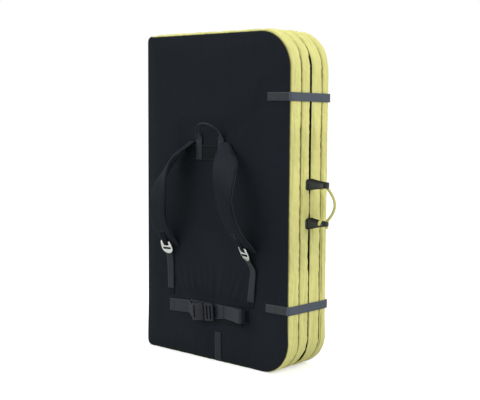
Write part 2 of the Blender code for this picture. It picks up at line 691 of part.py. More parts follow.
def make_yoke():
    """The patch that the shoulder straps and the haul loop are sewn to."""
    left = HARNESS_X - YOKE_WIDTH / 2
    lift = CLEARANCE + YOKE_THICKNESS / 2
    middle = [on_front(x, YOKE_BOTTOM + YOKE_HEIGHT / 2, lift)
              for x in spaced(left, left + YOKE_WIDTH, YOKE_STEPS)]
    webbing("yoke_patch", middle, UP, YOKE_HEIGHT, DARK_WEBBING, None, YOKE_THICKNESS)


def make_haul_loop():
    seat = YOKE_THICKNESS + CLEARANCE + SEATED
    for side, sign in SIGNS.items():
        x = LOOP_X + sign * LOOP_FOOT_OUT
        foot = [on_front(x, z, seat) for z in (YOKE_BOTTOM, LOOP_FOOT_TOP)]
        webbing("haul_loop_" + side + "_foot", foot, RIGHT, LOOP_WEBBING_WIDTH, DARK_WEBBING)
    pivot = on_front(LOOP_X, LOOP_FOOT_TOP - LOOP_OVERLAP, seat + WEBBING_THICKNESS + CLEARANCE)
    points = []
    across = []
    stations = smoothed(LOOP_SHARES, LOOP_STEPS)
    for i, (out, rise, bow) in enumerate(stations):
        points.append(pivot + Vector((out * LOOP_FOOT_OUT, -bow * LOOP_BOW, rise * LOOP_RISE)))
        angle = pi * i / (len(stations) - 1)
        across.append(Vector((cos(angle), sin(angle), 0)))
    widths = [LOOP_WEBBING_WIDTH] * len(points)
    webbing("haul_loop", points, across, widths, DARK_WEBBING, pivot)


def strap_stations(side, sign):
    """Centre points, width directions, widths and thicknesses of one shoulder strap."""
    points = []
    across = []
    widths = []
    thicknesses = []
    root_lift = CLEARANCE + STRAP_THICKNESS * STRAP_SHARES[0][-1] / 2
    if side == "right":
        root_lift += YOKE_THICKNESS + CLEARANCE * 2 + WEBBING_THICKNESS
    root = on_front(HARNESS_X, STRAP_TOP, root_lift)
    for drop, spread, bow, turn, width, thickness in smoothed(STRAP_SHARES, STRAP_STEPS):
        out = STRAP_ROOT_OUT + (STRAP_END_OUT[side] - STRAP_ROOT_OUT) * spread
        height = STRAP_TOP - (STRAP_TOP - STRAP_END[side]) * drop
        points.append(Vector((HARNESS_X + sign * out, root.y - STRAP_BOW[side] * bow, height)))
        across.append(Vector((cos(radians(turn)), sign * sin(radians(turn)), 0)))
        widths.append(STRAP_WIDTH * width)
        thicknesses.append(STRAP_THICKNESS * thickness)
    return points, across, widths, thicknesses


def make_shoulder_strap(side, sign):
    """The padded strap, and the webbing hanger on its lower end that holds the hook."""
    points, across, widths, thicknesses = strap_stations(side, sign)
    pivot = points[0]
    loops = ribbon_loops(points, across, widths, thicknesses, PAD_SECTION_SHARES)
    loft(side + "_shoulder_strap", loops, BLACK_FABRIC, pivot)
    hook, hook_across, hook_upward = hook_frame(side, sign)
    hanger = []
    directions = []
    last = (HANGER_STATION_COUNT + 1) * STRAP_STEPS
    for i in range(last - STRAP_STEPS + 1, last + 1):
        along = (points[i + 1] - points[i - 1]).normalized()
        front = along.cross(across[i]).normalized()
        hanger.append(points[i] + front * (thicknesses[i] / 2 + SEATED))
        directions.append(across[i])
    hanger.append(hook + hook_upward * (HOOK_NECK_HEIGHT + HANGER_GAP))
    directions.append(hook_across)
    webbing(side + "_strap_hanger", hanger, directions, HANGER_WIDTH, BLACK_WEBBING, pivot)


def hook_frame(side, sign):
    """Centre, width direction and upward direction of a hook buckle."""
    tilt = radians(HOOK_TILT)
    turn = radians(HOOK_TURN[side])
    centre = Vector((HARNESS_X + sign * STRAP_END_OUT[side], FRONT_SKIN - HOOK_CENTRE_LIFT,
                     STRAP_END[side] - HOOK_DROP))
    across = Vector((cos(turn), sin(turn), 0))
    upward = Vector((sin(turn) * sin(tilt), -cos(turn) * sin(tilt), cos(tilt)))
    return centre, across, upward


def make_lower_webbing(side, sign):
    """The adjusting webbing from its sewn anchor up to the hook buckle."""
    anchor_x = HARNESS_X + sign * LOWER_ANCHOR_OUT[side]
    webbing_lift = SEATED + CLEARANCE + WEBBING_THICKNESS
    pivot = on_front(anchor_x, LOWER_ANCHOR_HEIGHT, webbing_lift)
    hook, hook_across, upward = hook_frame(side, sign)
    behind = hook_across.cross(upward) * (HOOK_THICKNESS / 2 + SEATED)
    tail = hook - upward * (HOOK_WIDTH / 2 + LOWER_TUCK / 2) - behind
    points = []
    across = []
    rise = tail.z - pivot.z
    for height, bow, lift in smoothed(LOWER_SHARES, LOWER_STEPS):
        x = anchor_x + (hook.x - anchor_x) * height + sign * LOWER_SIDE_BOW[side] * bow
        points.append(on_front(x, pivot.z + rise * height, webbing_lift * (1 + lift)))
        across.append(RIGHT.lerp(hook_across, height))
    points += [tail, tail + upward * LOWER_TUCK]
    across += [hook_across, hook_across]
    webbing(side + "_lower_webbing", points, across, WEBBING_WIDTH, DARK_WEBBING, pivot)
    hook_plate(side + "_hook_buckle", hook, hook_across, upward, pivot)
    anchor_z = (LOWER_ANCHOR_HEIGHT + LOWER_ANCHOR_LENGTH / 2,
                LOWER_ANCHOR_HEIGHT - LOWER_ANCHOR_LENGTH / 2)
    anchor = [on_front(anchor_x, z, SEATED) for z in anchor_z]
    webbing(side + "_lower_anchor", anchor, RIGHT, WEBBING_WIDTH, BLACK_WEBBING)


def on_buckle(along, rise, out):
    """A point of the rolled buckle: along and above its housing's middle, and out from the panel."""
    middle = Vector((BUCKLE_LEFT + BUCKLE_HOUSING_LENGTH / 2,
                     FRONT_SKIN - BUCKLE_LIFT - BUCKLE_THICKNESS / 2, BUCKLE_HEIGHT))
    return middle + BUCKLE_ALONG * along + BUCKLE_RISE * rise - INTO * out


def make_belt():
    """The waist belt: backing strip, left run, right run with its bow, and the right anchor."""
    backing_z = (BELT_BACKING_TOP + BELT_BACKING_BOTTOM) / 2
    lift = CLEARANCE + BELT_BACKING_THICKNESS / 2
    backing = [on_front(x, backing_z, lift)
               for x in spaced(BELT_BACKING_LEFT, BELT_BACKING_RIGHT, 3)]
    webbing("belt_backing", backing, UP, BELT_BACKING_TOP - BELT_BACKING_BOTTOM, BLACK_FABRIC,
            None, BELT_BACKING_THICKNESS)
    over = BELT_BACKING_THICKNESS + CLEARANCE * 2 + WEBBING_THICKNESS / 2
    housing_end = -BUCKLE_HOUSING_LENGTH / 2
    left = [on_front(BELT_LEFT_END, BELT_LEFT_HEIGHT, SEATED),
            on_front((BELT_LEFT_END + BELT_BACKING_LEFT) / 2,
                     (BELT_LEFT_HEIGHT + BELT_CREST_HEIGHT) / 2, over),
            on_front(BELT_CREST_X, BELT_CREST_HEIGHT, over),
            on_buckle(housing_end - BUCKLE_BACK, 0, 0), on_buckle(housing_end - CLEARANCE, 0, 0)]
    across = [UP, UP, UP, BUCKLE_RISE, BUCKLE_RISE]
    webbing("belt_left_webbing", left, across, BELT_WIDTH, DARK_WEBBING)
    start_x = BUCKLE_LEFT + BUCKLE_HOUSING_LENGTH + BUCKLE_PLAY
    right = [on_front(start_x, BUCKLE_HEIGHT, over),
             on_front(BELT_STRAIGHT_END, BELT_CREASE_HEIGHT, over),
             *(Vector((BELT_BOW_X + BELT_TURN * along, FRONT_SKIN - BELT_BOW - BELT_TURN * out,
                       BELT_FLAP_HEIGHT))
               for along, out in BELT_TURN_SHARES),
             on_front(BELT_ANCHOR_X, BELT_ANCHOR_HEIGHT, over * 2),
             on_front(BELT_ANCHOR_X, BELT_ANCHOR_HEIGHT, over - WEBBING_THICKNESS / 2)]
    webbing("belt_right_webbing", right, UP, BELT_WIDTH, DARK_WEBBING)
    reach = BELT_ANCHOR_LENGTH / 2
    anchor = [on_front(x, BELT_ANCHOR_HEIGHT, SEATED)
              for x in spaced(BELT_ANCHOR_X - reach, BELT_ANCHOR_X + reach, 2)]
    webbing("belt_right_anchor", anchor, UP, BELT_WIDTH + BUCKLE_WALL, BLACK_WEBBING)


def bevelled_block(name, centre, length, height, depth, origin):
    item = add_object(name, block(centre, length, height, depth), BUCKLE_PLASTIC, origin)
    bevel = item.modifiers.new("rounded_edges", "BEVEL")
    bevel.width = BUCKLE_BEVEL
    bevel.segments = 2
    return item


def make_buckle():
    """Housing, frame with tongue, and the two flexing prongs."""
    mouth = BUCKLE_HOUSING_LENGTH / 2
    centre = on_buckle(0, 0, 0)
    housing = bevelled_block("belt_buckle_housing", centre, BUCKLE_ALONG * BUCKLE_HOUSING_LENGTH,
                             BUCKLE_RISE * BUCKLE_WIDTH, INTO * BUCKLE_THICKNESS, centre)
    cavity_width = BUCKLE_WIDTH - BUCKLE_WALL * 2
    cavity_depth = BUCKLE_THICKNESS - BUCKLE_WALL * 2
    cut_box(housing, on_buckle(BUCKLE_BACK, 0, 0), BUCKLE_ALONG * BUCKLE_HOUSING_LENGTH,
            BUCKLE_RISE * cavity_width, INTO * cavity_depth)
    cut_box(housing, on_buckle(BUCKLE_WALL, 0, 0), BUCKLE_ALONG * WINDOW_LENGTH,
            BUCKLE_RISE * BUCKLE_WIDTH * CUT_OVERRUN_SHARE, INTO * cavity_depth)
    root = mouth + BUCKLE_PLAY
    frame_centre = on_buckle(root + BUCKLE_FRAME_LENGTH / 2, 0, 0)
    frame = bevelled_block("belt_buckle_frame", frame_centre, BUCKLE_ALONG * BUCKLE_FRAME_LENGTH,
                           BUCKLE_RISE * BUCKLE_WIDTH, INTO * BUCKLE_FRAME_THICKNESS, frame_centre)
    for share in FRAME_SLOT_SHARES:
        slot = frame_centre + BUCKLE_ALONG * BUCKLE_FRAME_LENGTH * share
        cut_box(frame, slot, BUCKLE_ALONG * BUCKLE_SLOT_WIDTH,
                BUCKLE_RISE * (BELT_WIDTH + BUCKLE_PLAY * 2),
                INTO * BUCKLE_FRAME_THICKNESS * CUT_OVERRUN_SHARE)
    tongue_centre = on_buckle(root + BUCKLE_WALL - PRONG_LENGTH / 2, 0, 0)
    tongue = add_object("belt_tongue_shape", block(tongue_centre, BUCKLE_ALONG * PRONG_LENGTH,
                        BUCKLE_RISE * TONGUE_WIDTH, INTO * PRONG_THICKNESS), BUCKLE_PLASTIC)
    tongue.hide_render = True
    tongue.display_type = "WIRE"
    join = frame.modifiers.new("tongue", "BOOLEAN")
    join.operation = "UNION"
    join.solver = "EXACT"
    join.object = tongue
    for side, sign in (("upper", 1), ("lower", -1)):
        make_prong(side, sign, root - CLEARANCE, cavity_width)


def make_prong(side, sign, root, cavity_width):
    """A side prong with its barb, hinged where it leaves the frame."""
    outer = cavity_width / 2 - PRONG_INSET
    tip = root - PRONG_LENGTH
    barb_side = cavity_width / 2 - BUCKLE_PLAY
    plan = ((root, outer), (root, outer - PRONG_WIDTH), (tip, outer - PRONG_WIDTH),
            (tip, outer - PRONG_WIDTH / 2), (tip + BARB_LENGTH, barb_side),
            (tip + BARB_LENGTH * 2, barb_side), (tip + BARB_LENGTH * 2, outer))
    loops = []
    for out in (PRONG_THICKNESS / 2, -PRONG_THICKNESS / 2):
        loops.append([on_buckle(along, sign * rise, out) for along, rise in plan])
    pivot = on_buckle(root, sign * (outer - PRONG_WIDTH / 2), 0)
    loft("belt_" + side + "_prong", loops, BUCKLE_PLASTIC, pivot)


def make_bottom_tab():
    middle_z = (BOTTOM_TAB_TOP + BOTTOM_TAB_CURL) / 2
    heights = (BOTTOM_TAB_TOP, middle_z, BOTTOM_TAB_CURL, BOTTOM_TAB_END)
    middle = [on_front(BOTTOM_TAB_X, z, SEATED) for z in heights]
    webbing("bottom_tab", middle, RIGHT, WEBBING_WIDTH, DARK_WEBBING)


def main():
    clear_scene()
    front = Half("front", FRONT_SKIN, 1, FRONT_DEPTH, FRONT_WALL_SEAM)
    rear = Half("rear", REAR_SKIN, -1, REAR_DEPTH, REAR_WALL_SEAM)
    make_half(front)
    make_half(rear)
    for level in CLOSURE_HEIGHTS:
        make_closure(level)
    make_handle(front, -1)
    make_handle(rear, 1)
    make_yoke()
    make_haul_loop()
    for side, sign in SIGNS.items():
        make_shoulder_strap(side, sign)
        make_lower_webbing(side, sign)
    make_belt()
    make_buckle()
    make_bottom_tab()


main()
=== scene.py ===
# Folding bouldering crash pad, closed and standing on its short end: its finish, light and camera.
# Units are metres. +X points from the fold to the opening side, -Y is the side that carries the
# shoulder harness, +Z is up.

import json
from functools import partial
from math import cos, exp, hypot, pi, radians, sin

import bmesh
import bpy
from mathutils import Matrix, Vector, noise


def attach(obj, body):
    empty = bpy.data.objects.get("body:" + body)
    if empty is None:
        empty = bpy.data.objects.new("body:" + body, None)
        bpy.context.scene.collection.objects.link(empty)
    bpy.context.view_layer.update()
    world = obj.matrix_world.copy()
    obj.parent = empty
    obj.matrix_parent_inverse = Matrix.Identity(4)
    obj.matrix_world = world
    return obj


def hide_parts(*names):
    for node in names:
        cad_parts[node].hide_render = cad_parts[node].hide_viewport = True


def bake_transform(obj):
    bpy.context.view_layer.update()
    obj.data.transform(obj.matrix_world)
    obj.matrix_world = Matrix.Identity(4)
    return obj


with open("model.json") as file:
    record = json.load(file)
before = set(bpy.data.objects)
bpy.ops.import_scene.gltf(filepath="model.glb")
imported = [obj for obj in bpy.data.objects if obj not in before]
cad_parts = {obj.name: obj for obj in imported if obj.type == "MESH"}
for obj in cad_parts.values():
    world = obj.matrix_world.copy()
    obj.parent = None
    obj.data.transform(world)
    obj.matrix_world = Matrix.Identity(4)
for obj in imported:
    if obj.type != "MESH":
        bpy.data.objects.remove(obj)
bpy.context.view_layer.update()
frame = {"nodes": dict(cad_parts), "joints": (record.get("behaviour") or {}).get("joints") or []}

MM = 0.001
SAME_PLACE = 0.01 * MM
SIGNS = {"left": -1, "right": 1}


def mm(*sizes):
    """Sizes given in millimetres."""
    return [size * MM for size in sizes]


def by_side(left, right):
    return {"left": left * MM, "right": right * MM}


# The pad, as its solids have it
HEIGHT, WIDTH, THICKNESS, FRONT_DEPTH, PARTING = mm(1000, 590, 190, 98, 1)
FLAT_CUT, CLEARANCE, SPINE_WRAP = mm(0.5, 0.3, 22)
TOP_CORNER_RADIUS, BOTTOM_CORNER_RADIUS, FOLD_CORNER_RADIUS = mm(115, 105, 20)
FRONT_WALL_SEAM, REAR_WALL_SEAM = mm(56, 37)
RIM_INSET, BASE_RIM_DEPTH, SEAM_DEPTH, SEAM_INSET = mm(2.5, 8.5, 5.5, 5.5)
BASE_CROWN, LANDING_RIM_DEPTH, LANDING_CROWN, SHOULDER_WIDTH = mm(3, 2.6, 1, 13.5)
SIDE_X = WIDTH / 2
FRONT_SKIN = -(FRONT_WALL_SEAM + FRONT_DEPTH - LANDING_RIM_DEPTH) / 2
REAR_SKIN = FRONT_SKIN + THICKNESS
FOLD_Y = FRONT_SKIN + FRONT_DEPTH + PARTING / 2
FOLD_X = -SIDE_X - 1 * MM
REAR_DEPTH = THICKNESS - FRONT_DEPTH - PARTING
MIDDLE_Z = HEIGHT / 2

# Webbing stock and the closure straps
WEBBING_WIDTH, WEBBING_THICKNESS = mm(25, 1.6)
SEATED = CLEARANCE + WEBBING_THICKNESS / 2
CLOSURE_HEIGHTS = {"upper": 808 * MM, "lower": 195 * MM}
CLOSURE_SIDE = SIDE_X + 1.6 * MM
CLOSURE_FALL = 3.0 * MM
SEAT_LIFT = 0.9 * MM

# Harness
HARNESS_X = -16 * MM
YOKE_WIDTH, YOKE_HEIGHT, YOKE_BOTTOM, YOKE_THICKNESS = mm(186, 46, 617, 2)
LOOP_X, LOOP_FOOT_OUT, LOOP_FOOT_TOP, LOOP_RISE, LOOP_BOW = mm(-9, 45, 688, 47, 28)
LOOP_WEBBING_WIDTH = 23 * MM
STRAP_WIDTH, STRAP_THICKNESS, STRAP_ROOT_OUT, STRAP_TOP = mm(65, 11, 69, 672)
STRAP_END_OUT = by_side(158, 166)
STRAP_END = by_side(344, 355)
STRAP_BOW = by_side(74, 85)
HOOK_WIDTH, HOOK_NECK_HEIGHT, HOOK_THICKNESS, HOOK_DROP = mm(40, 27, 2, 9)
HOOK_CENTRE_LIFT, HANGER_WIDTH = mm(23, 20)
HOOK_TILT = 26
HOOK_TURN = {"left": 10, "right": -16}
LOWER_ANCHOR_OUT = by_side(161, 172)
LOWER_ANCHOR_HEIGHT, LOWER_ANCHOR_LENGTH = mm(204, 38)
LOWER_SIDE_BOW = by_side(0, 17)

# Waist belt
BELT_WIDTH, BELT_LEFT_HEIGHT, BELT_LEFT_END = mm(40, 151, -184)
BELT_CREST_X, BELT_CREST_HEIGHT = mm(-96, 156)
BELT_BACKING_LEFT, BELT_BACKING_RIGHT, BELT_BACKING_TOP, BELT_BACKING_BOTTOM = mm(-92, 121, 179, 123)
BELT_BACKING_THICKNESS, BELT_STRAIGHT_END, BELT_CREASE_HEIGHT = mm(1.8, 54, 159)
BELT_BOW_X, BELT_BOW, BELT_TURN, BELT_FLAP_HEIGHT = mm(132, 29, 7, 161.5)
BELT_ANCHOR_X, BELT_ANCHOR_HEIGHT, BELT_ANCHOR_LENGTH = mm(135, 158, 24)
BUCKLE_LEFT, BUCKLE_HEIGHT, BUCKLE_HOUSING_LENGTH, BUCKLE_FRAME_LENGTH = mm(-71, 149, 48, 39)
BUCKLE_THICKNESS, BUCKLE_FRAME_THICKNESS, BUCKLE_LIFT, BUCKLE_BACK = mm(13, 8, 5.2, 6)
BUCKLE_PLAY = 0.6 * MM
BUCKLE_ROLL = radians(5)

# Webbing tab at the bottom edge
BOTTOM_TAB_X = 23 * MM
BOTTOM_TAB_HEIGHTS = mm(93, 70, 45, 25, 15, 9, 5)

# Handles
HANDLE_HEIGHTS = {"upper": 555 * MM, "lower": 441 * MM}
HANDLE_BASE_OFFSET = {"front": 12.5 * MM, "rear": 8.5 * MM}
HANDLE_TAB_BASE, HANDLE_TAB_TIP, ROPE_DIAMETER = mm(33, 16, 7)
HANDLE_REACH = {"front": 45 * MM, "rear": 49 * MM}
HANDLE_BOW = {"front": 11 * MM, "rear": 25 * MM}
HANDLE_LEAN = {"front": 0, "rear": 9}

RIGHT, INTO, UP = Matrix.Identity(3)
BUCKLE_ALONG = Vector((cos(BUCKLE_ROLL), 0, sin(BUCKLE_ROLL)))
BUCKLE_RISE = Vector((-sin(BUCKLE_ROLL), 0, cos(BUCKLE_ROLL)))


class Wire:
    """A socket of a material. Arithmetic on it adds Math nodes."""

    def __init__(self, tree, socket=None):
        self.tree = tree
        self.socket = socket

    def node(self, kind, settings=(), sockets=(), output=0):
        """Adds a node: first its settings, then the values or links of its sockets."""
        made = self.tree.nodes.new("ShaderNode" + kind)
        for name, value in dict(settings).items():
            setattr(made, name, value)
        for name, value in dict(sockets).items():
            if isinstance(value, Wire):
                self.tree.links.new(value.socket, made.inputs[name])
            else:
                made.inputs[name].default_value = value
        return Wire(self.tree, made.outputs[output])

    def maths(self, operation, first, second=0.0):
        return self.node("Math", {"operation": operation}, {0: first, 1: second})

    def __add__(self, other):
        return self.maths("ADD", self, other)

    def __radd__(self, other):
        return self.maths("ADD", other, self)

    def __sub__(self, other):
        return self.maths("SUBTRACT", self, other)

    def __rsub__(self, other):
        return self.maths("SUBTRACT", other, self)

    def __mul__(self, other):
        return self.maths("MULTIPLY", self, other)

    def sine(self):
        return self.maths("SINE", self)

    def size(self):
        return self.maths("ABSOLUTE", self)

    def between(self, low, high):
        """0 under the low value, 1 over the high one, smooth between."""
        return self.node("MapRange", {"interpolation_type": "SMOOTHSTEP"},
                         {0: self, 1: low, 2: high})

    def mix(self, factor, *ends):
        """A colour between two colours, each a wire or three numbers."""
        first, second = (end if isinstance(end, Wire) else (*end, 1) for end in ends)
        return self.node("Mix", {"data_type": "RGBA"}, {0: factor, 6: first, 7: second}, 2)


def shade(colour, gain):
    return [part * gain for part in colour]


class Finish(Wire):
    """A material with one Principled shader."""

    def __init__(self, name, **plain):
        self.material = bpy.data.materials.new(name)
        self.material.use_nodes = True
        super().__init__(self.material.node_tree)
        self.shader = self.tree.nodes["Principled BSDF"]
        for socket, value in plain.items():
            self.shader.inputs[socket.replace("_", " ")].default_value = value

    def cloth_place(self):
        """The piece's own weave map, in metres. Across webbing and rope it runs from 0 to 1."""
        return self.node("UVMap", {"uv_map": "weave"})

    def object_place(self):
        return self.node("TexCoord", output="Object")

    def axes(self, place):
        split = self.node("SeparateXYZ", {}, {0: place})
        return [Wire(self.tree, output) for output in split.socket.node.outputs]

    def noise(self, place, scale, detail=3.0, roughness=0.55, distortion=0.0):
        """Noise over a place. Three scales stretch it."""
        if isinstance(scale, tuple):
            place = self.node("Mapping", {}, {"Vector": place, "Scale": scale})
            scale = 1.0
        return self.node("TexNoise", {}, {"Vector": place, "Scale": scale, "Detail": detail,
                                          "Roughness": roughness, "Distortion": distortion})

    def bump(self, height, strength, distance, **under):
        return self.node("Bump", {}, {"Strength": strength, "Distance": distance * MM,
                                      "Height": height, **under})

    def done(self, colour, roughness=None, normal=None):
        """Links what varies to the shader."""
        for socket, wire in (("Base Color", colour), ("Roughness", roughness), ("Normal", normal)):
            if wire:
                self.tree.links.new(wire.socket, self.shader.inputs[socket])
        return self.material


def shell_finish(name, colour, dust, crease, roughness, pitch, dust_amount, shine, lines=0.0,
                 shoulder=0.0):
    """Coated woven nylon: fine weave, soft mottling, dust where it rubs, another tone in seams.

    On the lime and landing cloth the seam tone is painted shade; on the black shell it is paler.
    lines is how much of the crease tone shows as painted shade in thin creases along the cloth,
    and shoulder how much painted highlight, in the dust colour, lies on a strap's
    upper part, where it bears on the shoulder.
    """
    make = Finish(name, Specular_IOR_Level=shine)
    seam = make.node("Attribute", {"attribute_name": "seam"}, {}, 2)
    place = make.cloth_place()
    pitch *= MM
    over = make.node("TexChecker", {}, {"Vector": place, "Scale": 1 / pitch}, 1)
    warp, weft = ((axis * (pi / pitch)).sine().size() for axis in make.axes(place)[:2])
    weave = warp * over + weft * (1 - over)
    cloud = make.noise(place, 5.0, 4.0).between(0.3, 0.7)
    fleck = make.noise(place, 900.0, 2.0)
    rub = make.noise(place, 22.0, 6.0, 0.7, 0.6).between(0.52, 0.78)
    streak = make.noise(place, (160.0, 9.0, 1.0), 4.0, 0.6).between(0.45, 0.75)
    base = make.mix(cloud, shade(colour, 0.90), shade(colour, 1.10))
    base = make.mix((1 - weave) * 0.22, base, shade(colour, 0.55))
    base = make.mix(fleck.between(0.55, 0.75) * 0.10, base, dust)
    base = make.mix((rub * 0.6 + streak * 0.4) * dust_amount, base, dust)
    # Painted shade in the seams: near a seam the colour goes to the crease tone.
    base = make.mix(seam.between(0.08, 0.9) * 0.95, base, crease)
    if lines:
        # Painted shade in thin creases along the cloth, in the crease tone.
        thin = make.noise(place, (120.0, 2.2, 1.0), 3.0, 0.6, 0.3)
        thin = 1 - ((thin - 0.5).size() * 8).between(0.0, 0.5)
        reach = make.noise(place, (24.0, 4.0, 1.0), 2.0).between(0.38, 0.58)
        base = make.mix(thin * reach * lines, base, crease)
    if shoulder:
        # Painted highlight on the strap's upper part: towards the dust colour with height.
        height = make.axes(make.object_place())[2]
        base = make.mix(height.between(0.52, 0.61) * shoulder, base, dust)
    soft = make.bump(make.noise(place, 60.0, 5.0, 0.6), 0.18, 1.2)
    return make.done(base, roughness + rub * 0.08 - weave * 0.05,
                     make.bump(weave + fleck * 0.5, 0.35, 0.18, Normal=soft))


def webbing_finish(name, colour, light, ribs, shine=0.2, rim=None):
    """Flat webbing: ribs along it, a twill across them and firm edges, darker with a rim."""
    make = Finish(name, Specular_IOR_Level=shine)
    place = make.cloth_place()
    across, along, _ = make.axes(place)
    rib = (across * (pi * ribs)).sine().size()
    twill = ((along * 2100.0 + across * (ribs * 6.0)).sine() + 1) * 0.5
    weft = (along * (pi / (1.3 * MM))).sine().size()
    from_middle = (across - 0.5).size() * 2
    edge = from_middle.between(0.86, 0.98)
    fuzz = make.noise(place, (40.0, 1400.0, 1.0))
    worn = make.noise(place, (3.0, 45.0, 1.0), 5.0, 0.65).between(0.5, 0.8)
    height = rib * 0.6 + twill * 0.25 + weft * 0.3 + edge * 0.5
    base = make.mix(rib * 0.55 + twill * 0.25, shade(colour, 0.62), shade(colour, 1.12))
    base = make.mix(fuzz.between(0.5, 0.8) * 0.18, base, light)
    base = make.mix(worn * 0.16 + edge * 0.14, base, light)
    if rim:
        base = make.mix(from_middle.between(0.62, 0.92) * 0.85, base, rim)
    return make.done(base, 0.62 + (1 - rib) * 0.14, make.bump(height + fuzz * 0.2, 0.5, 0.25))


def rope_finish(name, colour, dark):
    """Braided sheath: two crossing sets of yarns that wind round the rope."""
    make = Finish(name, Specular_IOR_Level=0.2)
    across, along, _ = make.axes(make.cloth_place())
    turn = across * (2 * pi * 6)
    wind = along * (2 * pi / (5.0 * MM))
    yarn = make.maths("MAXIMUM", (turn + wind).sine(), (turn - wind).sine()).between(-0.3, 1.0)
    fuzz = make.noise(make.object_place(), 1500.0, 2.0)
    worn = make.noise(make.object_place(), 60.0, 4.0).between(0.5, 0.75)
    # Painted shade: between the yarns the colour goes to the groove shade, deep enough to stand for
    # the shade on the rope's sides.
    base = make.mix(worn * 0.25, make.mix(yarn, dark, colour), shade(colour, 0.8))
    return make.done(base, 0.55 + (1 - yarn) * 0.25, make.bump(yarn + fuzz * 0.15, 0.6, 0.4))


def metal_finish(name, colour):
    """Tumbled and lightly scratched aluminium."""
    make = Finish(name, Metallic=1.0)
    place = make.object_place()
    scratch = make.noise(place, (900.0, 900.0, 60.0), 4.0, 0.7)
    grain = make.noise(place, 2600.0, 2.0)
    smudge = make.noise(place, 45.0, 5.0, 0.6).between(0.4, 0.7)
    return make.done(make.mix(smudge * 0.35, colour, shade(colour, 0.78)),
                     0.30 + smudge * 0.14 + scratch * 0.10,
                     make.bump(scratch + grain * 0.4, 0.16, 0.12))


def plastic_finish(name, colour, light):
    """Moulded acetal: fine spark-eroded grain, paler on rubbed places."""
    make = Finish(name, Specular_IOR_Level=0.18)
    place = make.object_place()
    grain = make.noise(place, 1900.0, 3.0, 0.6)
    rub = make.noise(place, 120.0, 5.0, 0.65).between(0.5, 0.72)
    return make.done(make.mix(rub * 0.35, colour, light), 0.44 + rub * 0.16,
                     make.bump(grain, 0.30, 0.10))


def foam_finish(name, colour, cell):
    """Cut foam: open cells that show as fine pits."""
    make = Finish(name, Roughness=0.92)
    place = make.object_place()
    cells = make.node("TexVoronoi", {}, {"Vector": place, "Scale": 1 / (cell * MM)})
    cloud = make.noise(place, 18.0, 4.0).between(0.3, 0.7)
    base = make.mix(cells.between(0.1, 0.5) * 0.6 + cloud * 0.2, shade(colour, 0.7), colour)
    return make.done(base, normal=make.bump(cells, 0.5, 0.5))


def thread_finish(name, colour):
    """Twisted sewing thread."""
    make = Finish(name, Roughness=0.5)
    ply = make.noise(make.object_place(), 2500.0, 2.0)
    return make.done(make.mix(ply, shade(colour, 0.6), shade(colour, 1.2)),
                     normal=make.bump(ply, 0.4, 0.1))


# Painted shade for seams: the landing cloth goes to it near its rim, where the halves meet.
SEAM_SHADE = (0.006, 0.006, 0.007)
BLACK_SHELL = shell_finish("black_shell", (0.0106, 0.0134, 0.0172), (0.042, 0.048, 0.056),
                           (0.018, 0.021, 0.025), 0.80, 0.9, 0.10, 0.05)
LANDING_SHELL = shell_finish("landing_shell", (0.012, 0.013, 0.015), (0.060, 0.060, 0.060),
                             SEAM_SHADE, 0.80, 1.1, 0.14, 0.05)
# The lime's olive crease tone is painted shade, in its seams and thin creases.
LIME_SHELL = shell_finish("lime_shell", (0.628, 0.608, 0.222), (0.67, 0.65, 0.36),
                          (0.105, 0.098, 0.018), 0.70, 0.8, 0.20, 0.15, 0.34)
# Two copies of one strap cloth: the left is lighter and the right darker as painted light, and the
# right has a painted highlight on its upper part.
STRAP_SHELLS = {
    side: shell_finish(side + "_strap_shell", colour, (0.050, 0.057, 0.066), SEAM_SHADE, 0.85, 1.4,
                       0.14, 0.03, 0.0, shoulder)
    for side, colour, shoulder in (("left", (0.0180, 0.0216, 0.0266), 0.02),
                                   ("right", (0.0132, 0.0162, 0.0204), 0.17))}
YOKE_CLOTH = shell_finish("yoke_cloth", (0.0088, 0.0102, 0.0122), (0.034, 0.038, 0.043),
                          SEAM_SHADE, 0.80, 1.2, 0.12, 0.05)
HEM_CLOTH = shell_finish("hem_cloth", (0.0140, 0.0160, 0.0196), (0.050, 0.055, 0.064),
                         SEAM_SHADE, 0.80, 1.2, 0.12, 0.05)
(GREY_WEBBING, BELT_WEBBING, HARNESS_WEBBING, BLUE_WEBBING, TAB_WEBBING, LOW_WEBBING, SLOT_SHADE,
 DARK_AND_SHADED_WEBBING, BINDING) = (webbing_finish(*looks) for looks in (
     ("grey_webbing", (0.030, 0.035, 0.040), (0.085, 0.095, 0.104), 7),
     ("belt_webbing", (0.0175, 0.0215, 0.0270), (0.068, 0.078, 0.090), 6),
     ("harness_webbing", (0.0165, 0.0205, 0.0250), (0.062, 0.070, 0.080), 7),
     ("blue_webbing", (0.068, 0.082, 0.103), (0.150, 0.170, 0.196), 7),
     ("tab_webbing", (0.056, 0.062, 0.064), (0.210, 0.220, 0.218), 4, 0.2, (0.012, 0.013, 0.013)),
     ("low_webbing", (0.0110, 0.0142, 0.0178), (0.044, 0.050, 0.058), 7),
     # slot_webbing is painted shade: the near-black strips in the buckle's slots.
     ("slot_webbing", (0.0014, 0.0018, 0.0026), (0.003, 0.004, 0.005), 3, 0.0),
     # dark_webbing: the anchors and hanger in this webbing, and painted shade on the hook's bight.
     ("dark_webbing", (0.0080, 0.0100, 0.0126), (0.022, 0.026, 0.031), 6, 0.05),
     ("binding", (0.0170, 0.0205, 0.0250), (0.062, 0.070, 0.080), 3, 0.1)))
